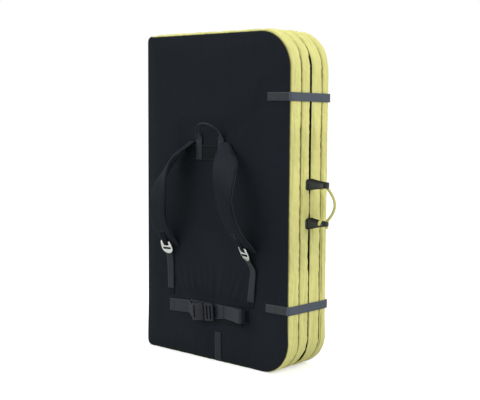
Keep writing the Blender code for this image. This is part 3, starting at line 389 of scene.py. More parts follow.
# The rope's second colour is painted shade between its yarns.
ROPE_SHEATH = rope_finish("rope_sheath", (0.64, 0.62, 0.22), (0.30, 0.29, 0.06))
HOOK_METAL = metal_finish("hook_metal", (0.50, 0.52, 0.49))
BUCKLE_PLASTIC = plastic_finish("buckle_plastic", (0.0050, 0.0068, 0.0100), (0.027, 0.035, 0.047))
SOFT_FOAM = foam_finish("soft_foam", (0.62, 0.62, 0.60), 1.6)
FIRM_FOAM = foam_finish("firm_foam", (0.10, 0.10, 0.11), 0.9)
DARK_THREAD = thread_finish("dark_thread", (0.050, 0.054, 0.060))

# The record's slot for each finish. The finishes not named here are in panel_webbing.
SLOTS = {
    "black_shell": "black_fabric", "landing_shell": "landing_fabric", "lime_shell": "lime_fabric",
    "left_strap_shell": "strap_fabric", "right_strap_shell": "strap_fabric",
    "blue_webbing": "closure_webbing", "tab_webbing": "handle_webbing",
    "rope_sheath": "handle_rope", "hook_metal": "hook_metal", "buckle_plastic": "buckle_plastic",
    "soft_foam": "soft_foam", "firm_foam": "firm_foam", "binding": None, "dark_thread": None,
}


def smoothed(rows, steps):
    """A table's rows with smooth rows added between them, so that each span has that many steps."""
    table = []
    last = len(rows) - 1
    for i in range(last):
        near = (rows[max(i - 1, 0)], rows[i], rows[i + 1], rows[min(i + 2, last)])
        for k in range(steps):
            t = k / steps
            table.append([(b * 2 + (c - a) * t + (a * 2 - b * 5 + c * 4 - d) * t ** 2
                           + (b * 3 - a - c * 3 + d) * t ** 3) / 2 for a, b, c, d in zip(*near)])
    table.append(list(rows[last]))
    return table


def eased(value, low, high):
    """0 under low, 1 over high, smooth between."""
    share = min(max((value - low) / (high - low), 0), 1)
    return share * share * (3 - 2 * share)


def ripple(x, y, z=0.0):
    """Smooth noise from -1 to 1."""
    return noise.noise(Vector((x, y, z)))


def warped_grid(columns, rows, place, inside=None, tube=False):
    """A grid whose points go where place(u, v) says, u and v from 0 to 1.

    place gives the point, its spot on the weave map and, for a shell, how near a seam it is.
    """
    shape = bmesh.new()
    bmesh.ops.create_grid(shape, x_segments=columns, y_segments=rows, size=1)
    weave = shape.loops.layers.uv.new("weave")
    seam = shape.verts.layers.float.new("seam")
    maps = {}
    for vert in shape.verts:
        point, maps[vert], *near_seam = place((vert.co.x + 1) / 2, (vert.co.y + 1) / 2)
        vert.co = point
        vert[seam] = near_seam[0] if near_seam else 0.0
    for face in shape.faces:
        for loop in face.loops:
            loop[weave].uv = maps[loop.vert]
    if tube:
        bmesh.ops.remove_doubles(shape, verts=shape.verts, dist=SAME_PLACE)
        bmesh.ops.holes_fill(shape, edges=shape.edges, sides=0)
        bmesh.ops.recalc_face_normals(shape, faces=shape.faces)
    shape.normal_update()
    if inside and sum((face.calc_center_median() - inside).dot(face.normal) * face.calc_area()
                      for face in shape.faces) < 0:
        bmesh.ops.reverse_faces(shape, faces=shape.faces)
    return shape


def piece(name, shape, finish, body, nodes=(), slot=None):
    mesh = bpy.data.meshes.new(name)
    shape.to_mesh(mesh)
    shape.free()
    mesh.shade_smooth()
    mesh.materials.append(finish)
    item = bpy.data.objects.new(name, mesh)
    bpy.context.scene.collection.objects.link(item)
    if body:
        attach(item, body)
    if nodes:
        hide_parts(*nodes)
    # A number follows a finish's name where one of the solids' materials has the same name
    slot = slot or SLOTS.get(finish.name.partition(".")[0], "panel_webbing")
    return item


def dress(item, thickness, levels=0, offset=-1.0):
    """Adds the subdivision and the cloth's thickness to a finished piece."""
    if levels:
        subdivision = item.modifiers.new("subdivision", "SUBSURF")
        subdivision.levels = subdivision.render_levels = levels
        subdivision.boundary_smooth = "PRESERVE_CORNERS"
    if thickness:
        solid = item.modifiers.new("thickness", "SOLIDIFY")
        solid.thickness = thickness
        solid.offset = offset


def puff(items, pressure, slack, cap, frames=20):
    """Swells the pieces as cloth held along their seams, then caps how far each point moved."""
    rest = {}
    for item, held in items:
        rest[item] = [vert.co.copy() for vert in item.data.vertices]
        item.vertex_groups.new(name="held").add(held, 1.0, "REPLACE")
        cloth = item.modifiers.new("cloth", "CLOTH")
        for name, value in (("vertex_group_mass", "held"), ("quality", 4), ("mass", 0.3),
                            ("use_pressure", True), ("uniform_pressure_force", pressure),
                            ("shrink_min", -slack), ("shrink_max", -slack),
                            ("bending_stiffness", 0.3)):
            setattr(cloth.settings, name, value)
        cloth.settings.effector_weights.gravity = 0
        cloth.collision_settings.use_collision = False
        cloth.point_cache.frame_start = 1
        cloth.point_cache.frame_end = frames
    for number in range(1, frames + 1):
        bpy.context.scene.frame_set(number)
    graph = bpy.context.evaluated_depsgraph_get()
    moved = {}
    for item, held in items:
        made = item.evaluated_get(graph).to_mesh()
        moved[item] = [vert.co.copy() for vert in made.vertices]
        item.evaluated_get(graph).to_mesh_clear()
    for item, held in items:
        item.modifiers.clear()
        item.vertex_groups.clear()
        for vert, start, end in zip(item.data.vertices, rest[item], moved[item]):
            step = end - start
            if step.length > cap:
                step = step * (cap / step.length)
            vert.co = start + step
    bpy.context.scene.frame_set(1)


def rim_indices(item):
    """The vertices on a sheet's free edges."""
    shape = bmesh.new()
    shape.from_mesh(item.data)
    found = [vert.index for vert in shape.verts if vert.is_boundary]
    shape.free()
    return found


# The two padded halves


class Half:
    """Places in one half: t is the depth from its base skin towards its landing skin."""

    def __init__(self, name, skin, inward, depth, seam):
        self.name = name
        self.skin = skin
        self.inward = inward
        self.depth = depth
        self.body = name + "_half"
        self.middle = Vector((0, skin + inward * depth / 2, MIDDLE_Z))
        self.walls = {"outer": (SEAM_DEPTH, seam - CLEARANCE / 2),
                      "inner": (seam + CLEARANCE / 2, depth - LANDING_RIM_DEPTH - CLEARANCE)}
        self.walls["spine"] = (self.walls["outer"][0], self.walls["inner"][1])

    def at(self, x, z, t):
        return Vector((x, self.skin + self.inward * t, max(z, 0)))


def corner_radius(x, z):
    if x < 0:
        return FOLD_CORNER_RADIUS
    return TOP_CORNER_RADIUS if z > MIDDLE_Z else BOTTOM_CORNER_RADIUS


def edge_distance(x, z):
    """How far a place lies inside the pad's outline."""
    radius = corner_radius(x, z)
    across = abs(x) - SIDE_X + radius
    above = abs(z - MIDDLE_Z) - MIDDLE_Z + radius
    return radius - min(max(across, above), 0) - hypot(max(across, 0), max(above, 0))


def rounded_place(x, z, inset):
    """Carries a place of the plain rectangle into the rectangle with round corners."""
    wide = SIDE_X - inset
    high = MIDDLE_Z - inset
    up = z - MIDDLE_Z
    share = max(abs(x) / wide, abs(up) / high)
    if share < 0.01:
        return x, z
    edge_x = x / share
    edge_up = up / share
    radius = corner_radius(x, z) - inset
    from_corner_x = wide - abs(edge_x)
    from_corner_up = high - abs(edge_up)
    if from_corner_x > radius or from_corner_up > radius:
        return x, z
    turn = pi / 4 * (1 + (from_corner_up - from_corner_x) / radius)
    pull = share ** 4
    out_x = (wide - radius + radius * sin(turn) - abs(edge_x)) * pull
    out_up = (high - radius + radius * cos(turn) - abs(edge_up)) * pull
    return x + (out_x if x > 0 else -out_x), z + (out_up if up > 0 else -out_up)


def spacing(length, near, step):
    """Places from 0 to the length, close together at both ends."""
    inner = length - 2 * near[-1]
    count = max(round(inner / step), 1)
    middle = [near[-1] + inner * (i + 1) / count for i in range(count - 1)]
    return list(near) + middle + [length - place for place in reversed(near)]


# Where sewn pieces hold the covers down: left, right, bottom and top, by half
SEWN = {
    "front": [(-0.112, 0.080, 0.610, 0.695), (-0.196, 0.155, 0.116, 0.188),
              (-0.193, -0.161, 0.181, 0.227), (0.140, 0.172, 0.181, 0.227),
              (0.007, 0.040, 0.0, 0.098), (0.205, 0.300, 0.792, 0.824), (0.205, 0.300, 0.179, 0.211)],
    "rear": [(0.115, 0.300, 0.788, 0.828), (0.115, 0.300, 0.175, 0.215)],
}


def free_share(half, x, z):
    """0 under and beside sewn pieces, 1 where the cover is free."""
    return min(eased(hypot(max(left - x, x - right, 0), max(bottom - z, z - top, 0)),
                     3 * MM, 34 * MM) for left, right, bottom, top in SEWN[half.name])


def wall_free(point):
    """0 under the closure straps and the handles' tabs, 1 where a wall is free."""
    if point.x < SIDE_X - 20 * MM:
        return 1.0
    shares = [eased(abs(point.z - z), 14 * MM, 42 * MM) for z in CLOSURE_HEIGHTS.values()]
    if abs(point.y - FOLD_Y) < 34 * MM:
        shares += [eased(abs(point.z - z), 18 * MM, 40 * MM) for z in HANDLE_HEIGHTS.values()]
    return min(shares)


def closing(x, z):
    """1 where the inner walls swell until they meet: over the top and between the handles' tabs."""
    over = eased(z, 0.905, 0.945) * eased(x, -0.26, -0.20)
    side = eased(x, 0.27, 0.29)
    between = side * eased(z, 0.452, 0.474) * (1 - eased(z, 0.522, 0.544))
    below = side * eased(z, 0.07, 0.10) * (1 - eased(z, 0.28, 0.33))
    apart = eased(x, 0.14, 0.20) * (1 - eased(z, 0.03, 0.07))
    return max(over, 0.85 * between, 0.75 * below, 0.30 * side) - 1.3 * apart * (1 - below)


def belt_folds(x, z):
    """Folds that fan out over the belt, where the webbing pulls the cover."""
    rise = z - BELT_BACKING_TOP
    if rise < 0 or rise > 0.16:
        return 0
    fan = (x + 0.03) / (rise + 0.20)
    wave = sin(fan * 62 + 3 * ripple(fan * 5, rise * 9)) + 0.5 * sin(fan * 118 + 1.3)
    reach = eased(x, -0.21, -0.15) * (1 - eased(x, 0.12, 0.19))
    return wave * reach * eased(rise, 0, 0.02) * (1 - eased(rise, 0.03, 0.15)) * 1.9 * MM


def belt_crease(x, z):
    """The long crease over the belt's backing."""
    rise = (z - BELT_BACKING_TOP - 15 * MM) / (6 * MM)
    reach = eased(x, -0.155, -0.135) * (1 - eased(x, 0.105, 0.130))
    return exp(-rise ** 2) * reach * 4.0 * MM


def base_relief(half, x, z):
    """How far the base cover stands out from its crown: slow swells, folds and edge puckers."""
    inner = edge_distance(x, z)
    swell = ripple(x * 5.5, z * 4.0, half.depth * 40) * 1.5 + ripple(x * 13, z * 9, 7) * 0.6
    pucker = ripple(x * 60, z * 60, 3) * 0.5 * (1 - eased(inner, 10 * MM, 45 * MM))
    relief = (swell + pucker) * MM * eased(inner, 0, 30 * MM)
    if half.name == "rear":
        return relief * free_share(half, x, z)
    return (relief + belt_folds(x, z)) * free_share(half, x, z) - belt_crease(x, z)


def crown_depth(x, z, rim, crown, inset=RIM_INSET):
    """Depth of a crowned face under its highest place."""
    inner = max(edge_distance(x, z) - inset, 0)
    half_width = SIDE_X - RIM_INSET - SHOULDER_WIDTH
    half_height = MIDDLE_Z - RIM_INSET - SHOULDER_WIDTH
    share = min(max(abs(x) / half_width, abs(z - MIDDLE_Z) / half_height), 1)
    shoulder = exp(-inner / (3.2 * MM)) * 0.75 + exp(-inner / (9 * MM)) * 0.25
    return crown * share ** 4 + (rim - crown) * shoulder * (1 - eased(inner, 10 * MM, 30 * MM))


def base_reach(x, z):
    """How much further out the base's seam lies along the bottom and round its right corner."""
    low = 1 - eased(z, 0.03, 0.17)
    return 3 * MM * low * (1 + 0.75 * eased(x, 0.15, 0.25))


def outwards(x, z):
    """The direction out of the pad's outline."""
    radius = corner_radius(x, z)
    across = max(abs(x) - SIDE_X + radius, 0) * (1 if x > 0 else -1)
    above = max(abs(z - MIDDLE_Z) - MIDDLE_Z + radius, 0) * (1 if z > MIDDLE_Z else -1)
    length = hypot(across, above)
    return (across / length, above / length) if length > 1e-6 else (0, 0)


def face_cover(half, kind, inset, rows_near, step, finish, place):
    """A cover of one face: place(x, z) gives the point and how near its seam is."""
    across, above = (spacing(size - 2 * inset, rows_near, step) for size in (WIDTH, HEIGHT))

    def spot(u, v):
        flat_x = across[round(u * (len(across) - 1))] - SIDE_X + inset
        flat_z = above[round(v * (len(above) - 1))] + inset
        x, z = rounded_place(flat_x, flat_z, inset)
        point, near_seam = place(x, z)
        return point, (x, z), near_seam

    shape = warped_grid(len(across) - 1, len(above) - 1, spot, half.middle)
    return piece(half.name + kind + "_cover", shape, finish, half.body, [half.name + kind + "_panel"])


def base_cover(half):
    def place(x, z):
        depth = crown_depth(x, z, SEAM_DEPTH, BASE_CROWN, SEAM_INSET) - base_relief(half, x, z)
        near = max(edge_distance(x, z) - SEAM_INSET, 0)
        reach = base_reach(x, z) * exp(-near / (20 * MM))
        out_x, out_z = outwards(x, z)
        return half.at(x + out_x * reach, z + out_z * reach, depth), exp(-near / (1.5 * MM))

    return face_cover(half, "_base", SEAM_INSET, mm(0, 1.6, 4, 7.5, 12.5, 19), 8 * MM,
                      BLACK_SHELL, place)


def landing_cover(half):
    def place(x, z):
        sink = (ripple(x * 6, z * 5, 11) + 1) * 0.35 * MM * eased(edge_distance(x, z), 0, 40 * MM)
        rim = LANDING_RIM_DEPTH * (1 - closing(x, z))
        near = max(edge_distance(x, z) - RIM_INSET, 0)
        # The third value paints shade near the rim, in the seam tone, where the two halves meet.
        return (half.at(x, z, half.depth - crown_depth(x, z, rim, LANDING_CROWN) - sink),
                exp(-near / (3 * MM)))

    return face_cover(half, "_landing", RIM_INSET, mm(0, 1.6, 4, 7.5, 12.5), 12 * MM,
                      LANDING_SHELL, place)


# Routes of the walls: straights from place to place, and arcs as centre, angles and radius


def lime_route():
    """Over the top, down the opening side and back along the bottom."""
    top = HEIGHT - TOP_CORNER_RADIUS
    top_x = SIDE_X - TOP_CORNER_RADIUS
    low = BOTTOM_CORNER_RADIUS - FLAT_CUT
    low_x = SIDE_X - BOTTOM_CORNER_RADIUS
    start = -SIDE_X + SPINE_WRAP
    return [(start, HEIGHT, top_x, HEIGHT, None), (top_x, top, 90, 0, TOP_CORNER_RADIUS),
            (SIDE_X, top, SIDE_X, low, None), (low_x, low, 0, -90, BOTTOM_CORNER_RADIUS),
            (low_x, -FLAT_CUT, start, -FLAT_CUT, None)]


def spine_route():
    """Along the bottom, up the fold side and on to the top."""
    end = -SIDE_X + SPINE_WRAP - CLEARANCE
    x = -SIDE_X + FOLD_CORNER_RADIUS
    low = FOLD_CORNER_RADIUS - FLAT_CUT
    top = HEIGHT - FOLD_CORNER_RADIUS
    return [(end, -FLAT_CUT, x, -FLAT_CUT, None), (x, low, -90, -180, FOLD_CORNER_RADIUS),
            (-SIDE_X, low, -SIDE_X, top, None), (x, top, 180, 90, FOLD_CORNER_RADIUS),
            (x, HEIGHT, end, HEIGHT, None)]


def part_length(a, b, c, d, radius):
    return hypot(c - a, d - b) if radius is None else radians(abs(d - c)) * radius


def on_route(route, distance):
    """Place and outward direction at a distance along a route."""
    for number, (a, b, c, d, radius) in enumerate(route):
        length = part_length(a, b, c, d, radius)
        if distance > length and number < len(route) - 1:
            distance -= length
            continue
        share = distance / length
        if radius is None:
            along = ((c - a) / length, (d - b) / length)
            return (a + (c - a) * share, b + (d - b) * share), (-along[1], along[0])
        angle = radians(c + (d - c) * share)
        out = (cos(angle), sin(angle))
        return (a + radius * out[0], b + radius * out[1]), out


def drawn_in(near):
    """How much of a seam's dip a wall has at a distance from its edge."""
    return 0.6 * exp(-near / (1.6 * MM)) + 0.4 * exp(-near / (9 * MM))


def wall_cover(half, name, route, dips, finish, seed):
    """A pillowed band of the wall, its long edges drawn in by the dips where they are sewn."""
    start, end = half.walls[name]
    inner = name == "inner"
    wide = end - start
    across = spacing(wide, mm(0, 1.2, 3, 4.6, 6, 7.6, 10.5), 6 * MM)
    length = sum(part_length(*part) for part in route)
    seed += half.skin * 90

    def place(u, v):
        t = across[round(u * (len(across) - 1))]
        distance = v * length
        (x, z), out = on_route(route, distance)
        near = min(t, wide - t)
        shut = closing(x, z) * (t / wide) ** 3 if inner else 0
        dip = dips[0] * MM if t < wide / 2 else dips[1] * MM * (1 - 0.75 * max(shut, 0))
        if t > wide / 2 or inner:
            dip *= 1 - 0.6 * (1 - eased(z, 0.06, 0.13)) * eased(x, 0.12, 0.20)
        if t < wide / 2 and not inner:
            dip -= base_reach(x, z)
        pucker = ripple(distance * 75, t * 30, seed) * exp(-near / (7 * MM)) * 0.9
        ridge = 1 - 2 * abs(ripple(distance * 3.2, t * 70, seed + 5))
        crease = ridge * 1.25 + ripple(distance * 16, t * 22, seed) * 0.8
        swell = ripple(distance * 5, seed) * 0.9
        held = wall_free(half.at(x, z, start + t))
        free = eased(near, 0, 12 * MM) * held
        inset = dip * drawn_in(near) - (pucker * held + (crease + swell) * free) * MM
        inset += 2.5 * MM * exp(-min(distance, length - distance) / (6 * MM)) * free
        groove = 0
        if name == "outer":
            groove = exp(-((wide - t - 5.8 * MM) / (1.0 * MM)) ** 2) * eased(x, 0.27, 0.29) * held
            groove *= 1 - 0.75 * eased(z, 0.50, 0.62)
        corner = eased(z, 0.90, 0.95) * eased(x, 0.17, 0.21) * (1 - eased(x, 0.28, 0.295))
        inset += groove * 1.1 * MM - corner * 3 * MM * free
        deep = start + t + shut * (LANDING_RIM_DEPTH + CLEARANCE * 1.5)
        # The third value paints shade near the band's sewn edges and in the groove by the front seam;
        # on the black spine it gives the paler seam tone.
        return (half.at(x - out[0] * inset, z - out[1] * inset, deep), (t, distance),
                max(exp(-near / (2.2 * MM)) * (1 - max(shut, 0) * 0.3), groove * 0.75))

    shape = warped_grid(len(across) - 1, round(length / (6.5 * MM)), place, half.middle)
    node = half.name + "_" + name + "_wall"
    return piece(node + "_cover", shape, finish, half.body, [node])


FRONT = Half("front", FRONT_SKIN, 1, FRONT_DEPTH, FRONT_WALL_SEAM)
REAR = Half("rear", REAR_SKIN, -1, REAR_DEPTH, REAR_WALL_SEAM)


def on_base(half, x, z, lift):
    """A point that far in front of a base cover's crown."""
    return half.at(x, z, crown_depth(x, z, BASE_RIM_DEPTH, BASE_CROWN) - lift)


on_front = partial(on_base, FRONT)
on_rear = partial(on_base, REAR)


def run_on(face, start, end, count, lift):
    """Points on a base cover from one place (x, z) to another."""
    return [face(start[0] + (end[0] - start[0]) * i / count,
                 start[1] + (end[1] - start[1]) * i / count, lift) for i in range(count + 1)]


def refined(node, finish, body, edge, suffix, segments=2):
    """A CAD solid's copy with its flat faces joined and its sharp edges rounded."""
    shape = bmesh.new()
    shape.from_mesh(frame["nodes"][node].data)
    bmesh.ops.remove_doubles(shape, verts=shape.verts, dist=SAME_PLACE)
    bmesh.ops.dissolve_limit(shape, angle_limit=radians(1), verts=shape.verts, edges=shape.edges)
    bmesh.ops.recalc_face_normals(shape, faces=shape.faces)
    if edge:
        sharp = [e for e in shape.edges if e.is_manifold and e.calc_face_angle() > radians(35)]
        bmesh.ops.bevel(shape, geom=sharp, offset=edge * MM, offset_type="OFFSET",
                        segments=segments, profile=0.5, affect="EDGES", clamp_overlap=True,
                        material=-1)
    item = piece(node + suffix, shape, finish, body, [node])
    item.data.set_sharp_from_angle(angle=radians(50))
    return item


class Strip:
    """A run of webbing through rows of point, direction across and width."""

    def __init__(self, rows, steps):
        self.rows = smoothed([[*point, *across, width] for point, across, width in rows], steps)
        self.places = [0.0]
        for before, after in zip(self.rows, self.rows[1:]):
            self.places.append(self.places[-1] + (Vector(after[:3]) - Vector(before[:3])).length)
        self.length = self.places[-1]

    def frame_at(self, along):
        """Point, direction across, facing direction and width at a distance along the strip."""
        i = 0
        while i < len(self.places) - 2 and self.places[i + 1] < along:
            i += 1
        span = self.places[i + 1] - self.places[i]
        share = (along - self.places[i]) / span if span else 0
        row = [a + (b - a) * share for a, b in zip(self.rows[i], self.rows[i + 1])]
        first = self.rows[max(i - 1, 0)]
        last = self.rows[min(i + 2, len(self.rows) - 1)]
        near = Vector(self.rows[i + 1][:3]) - Vector(self.rows[i][:3])
        wide = Vector(last[:3]) - Vector(first[:3])
        tangent = (near.normalized() + wide.normalized()).normalized()
        across = Vector(row[3:6]).normalized()
        return Vector(row[:3]), across, tangent.cross(across).normalized(), row[6]

    def at(self, side, along, lift=0.0):
        """A point on the strip: side from -0.5 to 0.5 of its width."""
        point, across, facing, width = self.frame_at(along)
        return point + across * (side * width) + facing * lift


def make_webbing(node, rows, finish, body="front_half", name=None, slot=None, steps=4, columns=6,
                 thickness=1.5, cup=0.0, fine=4):
    """Webbing along rows, slightly cupped across its width. It has a name, or its node's."""
    strip = Strip(rows, steps)

    def place(u, v):
        along = v * strip.length
        return strip.at(u - 0.5, along, cup * (1 - (2 * u - 1) ** 2)), (u, along)

    shape = warped_grid(columns, max(round(strip.length / (fine * MM)), 2), place)
    item = piece(name or node + "_webbing", shape, finish, body, [node] if node else (), slot)
    dress(item, thickness * MM, 0, 0.0)
    return strip


def straight(points, across, width):
    """Rows of a strip with one direction across it and one width."""
    return [(point, across, width) for point in points]


# Sewing


class Sewing:
    """Stitches that ride on one body, gathered in one piece."""

    def __init__(self, body):
        self.body = body
        self.shape = bmesh.new()

    def run(self, points, normals, pitch=3.6 * MM, length=2.7 * MM, thick=0.55 * MM):
        """Stitches of one length along a line, lying on the surface."""
        for start, end, normal in zip(points, points[1:], normals):
            count = max(round((end - start).length / pitch), 1)
            along = (end - start).normalized()
            side = normal.cross(along).normalized()
            for i in range(count):
                middle = start + (end - start) * ((i + 0.5) / count)
                for vert in bmesh.ops.create_cube(self.shape, size=1)["verts"]:
                    a, b, c = vert.co
                    slim = 0.7 if c > 0 else 1.0
                    vert.co = (middle + along * (a * length * slim) + side * (b * thick * slim)
                               + normal * (c * thick * 0.9))

    def box(self, strip, start, end, lift=SEAT_LIFT, inset=0.12, cross=True):
        """A sewn box on a strip, with a cross in it."""
        left, right = inset - 0.5, 0.5 - inset
        corners = [(left, start), (right, start), (right, end), (left, end)]
        lines = list(zip(corners, corners[1:] + corners[:1]))
        if cross:
            lines += [(corners[0], corners[2]), (corners[1], corners[3])]
        for first, last in lines:
            self.line(strip, first, last, lift)

    def line(self, strip, first, last, lift=SEAT_LIFT, parts=4):
        """Stitches on a strip from one side-and-distance pair to another."""
        sign = 1 if lift > 0 else -1
        places = [[a + (b - a) * i / parts for a, b in zip(first, last)] for i in range(parts + 1)]
        self.run([strip.at(side, along, lift) for side, along in places],
                 [strip.frame_at(along)[2] * sign for side, along in places])

    def done(self):
        piece(self.body + "_stitches", self.shape, DARK_THREAD, self.body)


# The cover of each half, and what fills it

SWOLLEN_BASES = []
SWOLLEN_WALLS = []
for half in (FRONT, REAR):
    base = base_cover(half)
    tied = [vert.index for vert in base.data.vertices
            if free_share(half, vert.co.x, vert.co.z) < 0.5]
    SWOLLEN_BASES.append((base, sorted(set(rim_indices(base) + tied))))
    landing = landing_cover(half)
    SWOLLEN_BASES.append((landing, rim_indices(landing)))
    for name, route, dips, finish, seed in (
            ("outer", lime_route(), (6, 7), LIME_SHELL, 1),
            ("inner", lime_route(), (7, 7.5), LIME_SHELL, 31),
            ("spine", spine_route(), (6, 6), BLACK_SHELL, 61)):
        wall = wall_cover(half, name, route, dips, finish, seed)
        tied = [vert.index for vert in wall.data.vertices if wall_free(vert.co) < 0.5]
        SWOLLEN_WALLS.append((wall, sorted(set(rim_indices(wall) + tied))))

for half in (FRONT, REAR):
    for kind, finish in (("_soft_foam", SOFT_FOAM), ("_firm_foam", FIRM_FOAM)):
        foam = refined(half.name + kind, finish, half.body, 0, "_block")


def make_hinge():
    """One strip of cloth from landing cover to landing cover, folded round the fold axis."""
    leaf, apart, end_gap, thickness = mm(15, 0.75, 25, 0.5)
    turn = pi / 2 * apart
    wide = 2 * leaf + 2 * turn
    long = HEIGHT - 2 * end_gap

    def place(u, v):
        along = u * wide - wide / 2
        if abs(along) < turn:
            angle = along / turn * pi / 2
            x, y = -apart * cos(angle), apart * sin(angle)
        else:
            x, y = abs(along) - turn, -apart if along < 0 else apart
        return (Vector((FOLD_X + apart + x, FOLD_Y + y, end_gap + v * long)),
                (u * wide, v * long))

    item = piece("hinge_cloth", warped_grid(24, 95, place), BLACK_SHELL, None,
                 ["front_hinge_leaf", "rear_hinge_leaf"])
    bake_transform(item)
    dress(item, thickness, 0, 0.0)


make_hinge()


# Closure straps


def round_corner(skin, inward, z, *places):
    """Points at the opening side's corner: millimetres out from the side and in from the skin."""
    return [Vector((SIDE_X + out * MM, skin + inward * deep * MM, z)) for out, deep in places]


def make_closure(level, sewing_front, sewing_rear):
    """Its patch in front, the run across the opening side, and its end and anchor behind."""
    z = CLOSURE_HEIGHTS[level]
    low = z - CLOSURE_FALL
    strap = "closure_strap_" + level
    edge = SIDE_X - RIM_INSET - SHOULDER_WIDTH
    split = edge + SHOULDER_WIDTH / 2
    corner = BASE_RIM_DEPTH / 2

    def band(part, points, finish, body, **more):
        return make_webbing("closure_" + part + "_" + level, straight(points, UP, WEBBING_WIDTH),
                            finish, body, **more)

    points = run_on(on_front, (CLOSURE_SIDE - 84 * MM, z), (edge, z), 4, SEATED)
    points += [on_front(split, z, SEATED * 1.4), *round_corner(FRONT_SKIN, 1, z, (-4.5, 0.5))]
    patch = band("patch", points, GREY_WEBBING, "front_half")
    points = round_corner(FRONT_SKIN, 1, z, (-4.8, 0.5), (-2, 0.9), (1.2, 2.3), (1.6, corner / MM))
    make_webbing(None, straight(points, UP, WEBBING_WIDTH), BLUE_WEBBING, "front_half",
                 "closure_turn_" + level + "_webbing", fine=2)
    sewing_front.box(patch, 4 * MM, 26 * MM)
    sewing_front.box(patch, 46 * MM, 62 * MM)
    first = FRONT_SKIN + corner + CLEARANCE / 2
    far = REAR_SKIN - corner - CLEARANCE / 2
    points = [Vector((CLOSURE_SIDE + bow * MM, first + (far - first) * share,
                      z - CLOSURE_FALL * share))
              for share, bow in ((0, 0), (0.12, 0.15), (0.3, 0.3), (0.5, 0.0), (0.7, 0.2),
                                 (0.88, -0.2), (1, -0.6))]
    run = band("strap", points, BLUE_WEBBING, strap)
    sewing = Sewing(strap)
    sewing.line(run, (-0.38, 3 * MM), (0.38, 3 * MM))
    bar = CLOSURE_SIDE - 80 * MM
    points = round_corner(REAR_SKIN, -1, low, (1.0, corner / MM), (-0.8, 2.9), (-4.5, 1.3))
    points += [on_rear(split, low, SEATED * 1.4),
               *run_on(on_rear, (edge, low), (bar, z), 4, SEATED)]
    band("end", points, BLUE_WEBBING, "rear_half")
    bar -= CLEARANCE
    points = run_on(on_rear, (bar, z), (bar - 90 * MM - CLEARANCE, z), 5, SEATED)
    anchor = band("anchor", points, GREY_WEBBING, "rear_half")
    sewing_rear.box(anchor, 40 * MM, 62 * MM, -SEAT_LIFT)
    sewing_rear.box(anchor, 64 * MM, 86 * MM, -SEAT_LIFT)
    hook = "closure_hook_" + level
    refined(hook, HOOK_METAL, hook, 0.55, "_plate")
    sewing.done()


front_sewing = Sewing("front_half")
rear_sewing = Sewing("rear_half")
for level in CLOSURE_HEIGHTS:
    make_closure(level, front_sewing, rear_sewing)


# Carrying handles


def joint_place(name):
    return Vector(next(j for j in frame["joints"] if j["name"] == name)["pos_m"])


def make_tube(name, points, radius, finish, body, nodes=(), ends=1.0, around=14):
    """A round cord through the points, its ends drawn in to the given share."""
    places = [Vector(row) for row in smoothed([list(point) for point in points], 3)]
    lengths = [0.0]
    for before, after in zip(places, places[1:]):
        lengths.append(lengths[-1] + (after - before).length)
    count = len(places) - 1
    sides = []
    side = None
    for i, point in enumerate(places):
        along = (places[min(i + 1, count)] - places[max(i - 1, 0)]).normalized()
        guess = side if side is not None else along.orthogonal()
        side = (guess - along * guess.dot(along)).normalized()
        sides.append((side, along.cross(side)))

    def place(u, v):
        i = round(v * count)
        angle = 2 * pi * u
        near = min(lengths[i], lengths[-1] - lengths[i])
        thick = radius * (ends + (1 - ends) * eased(near, 0, radius))
        first, second = sides[i]
        return (places[i] + first * (cos(angle) * thick) + second * (sin(angle) * thick),
                (u, lengths[i]))

    return piece(name, warped_grid(around, count, place, tube=True), finish, body, nodes)


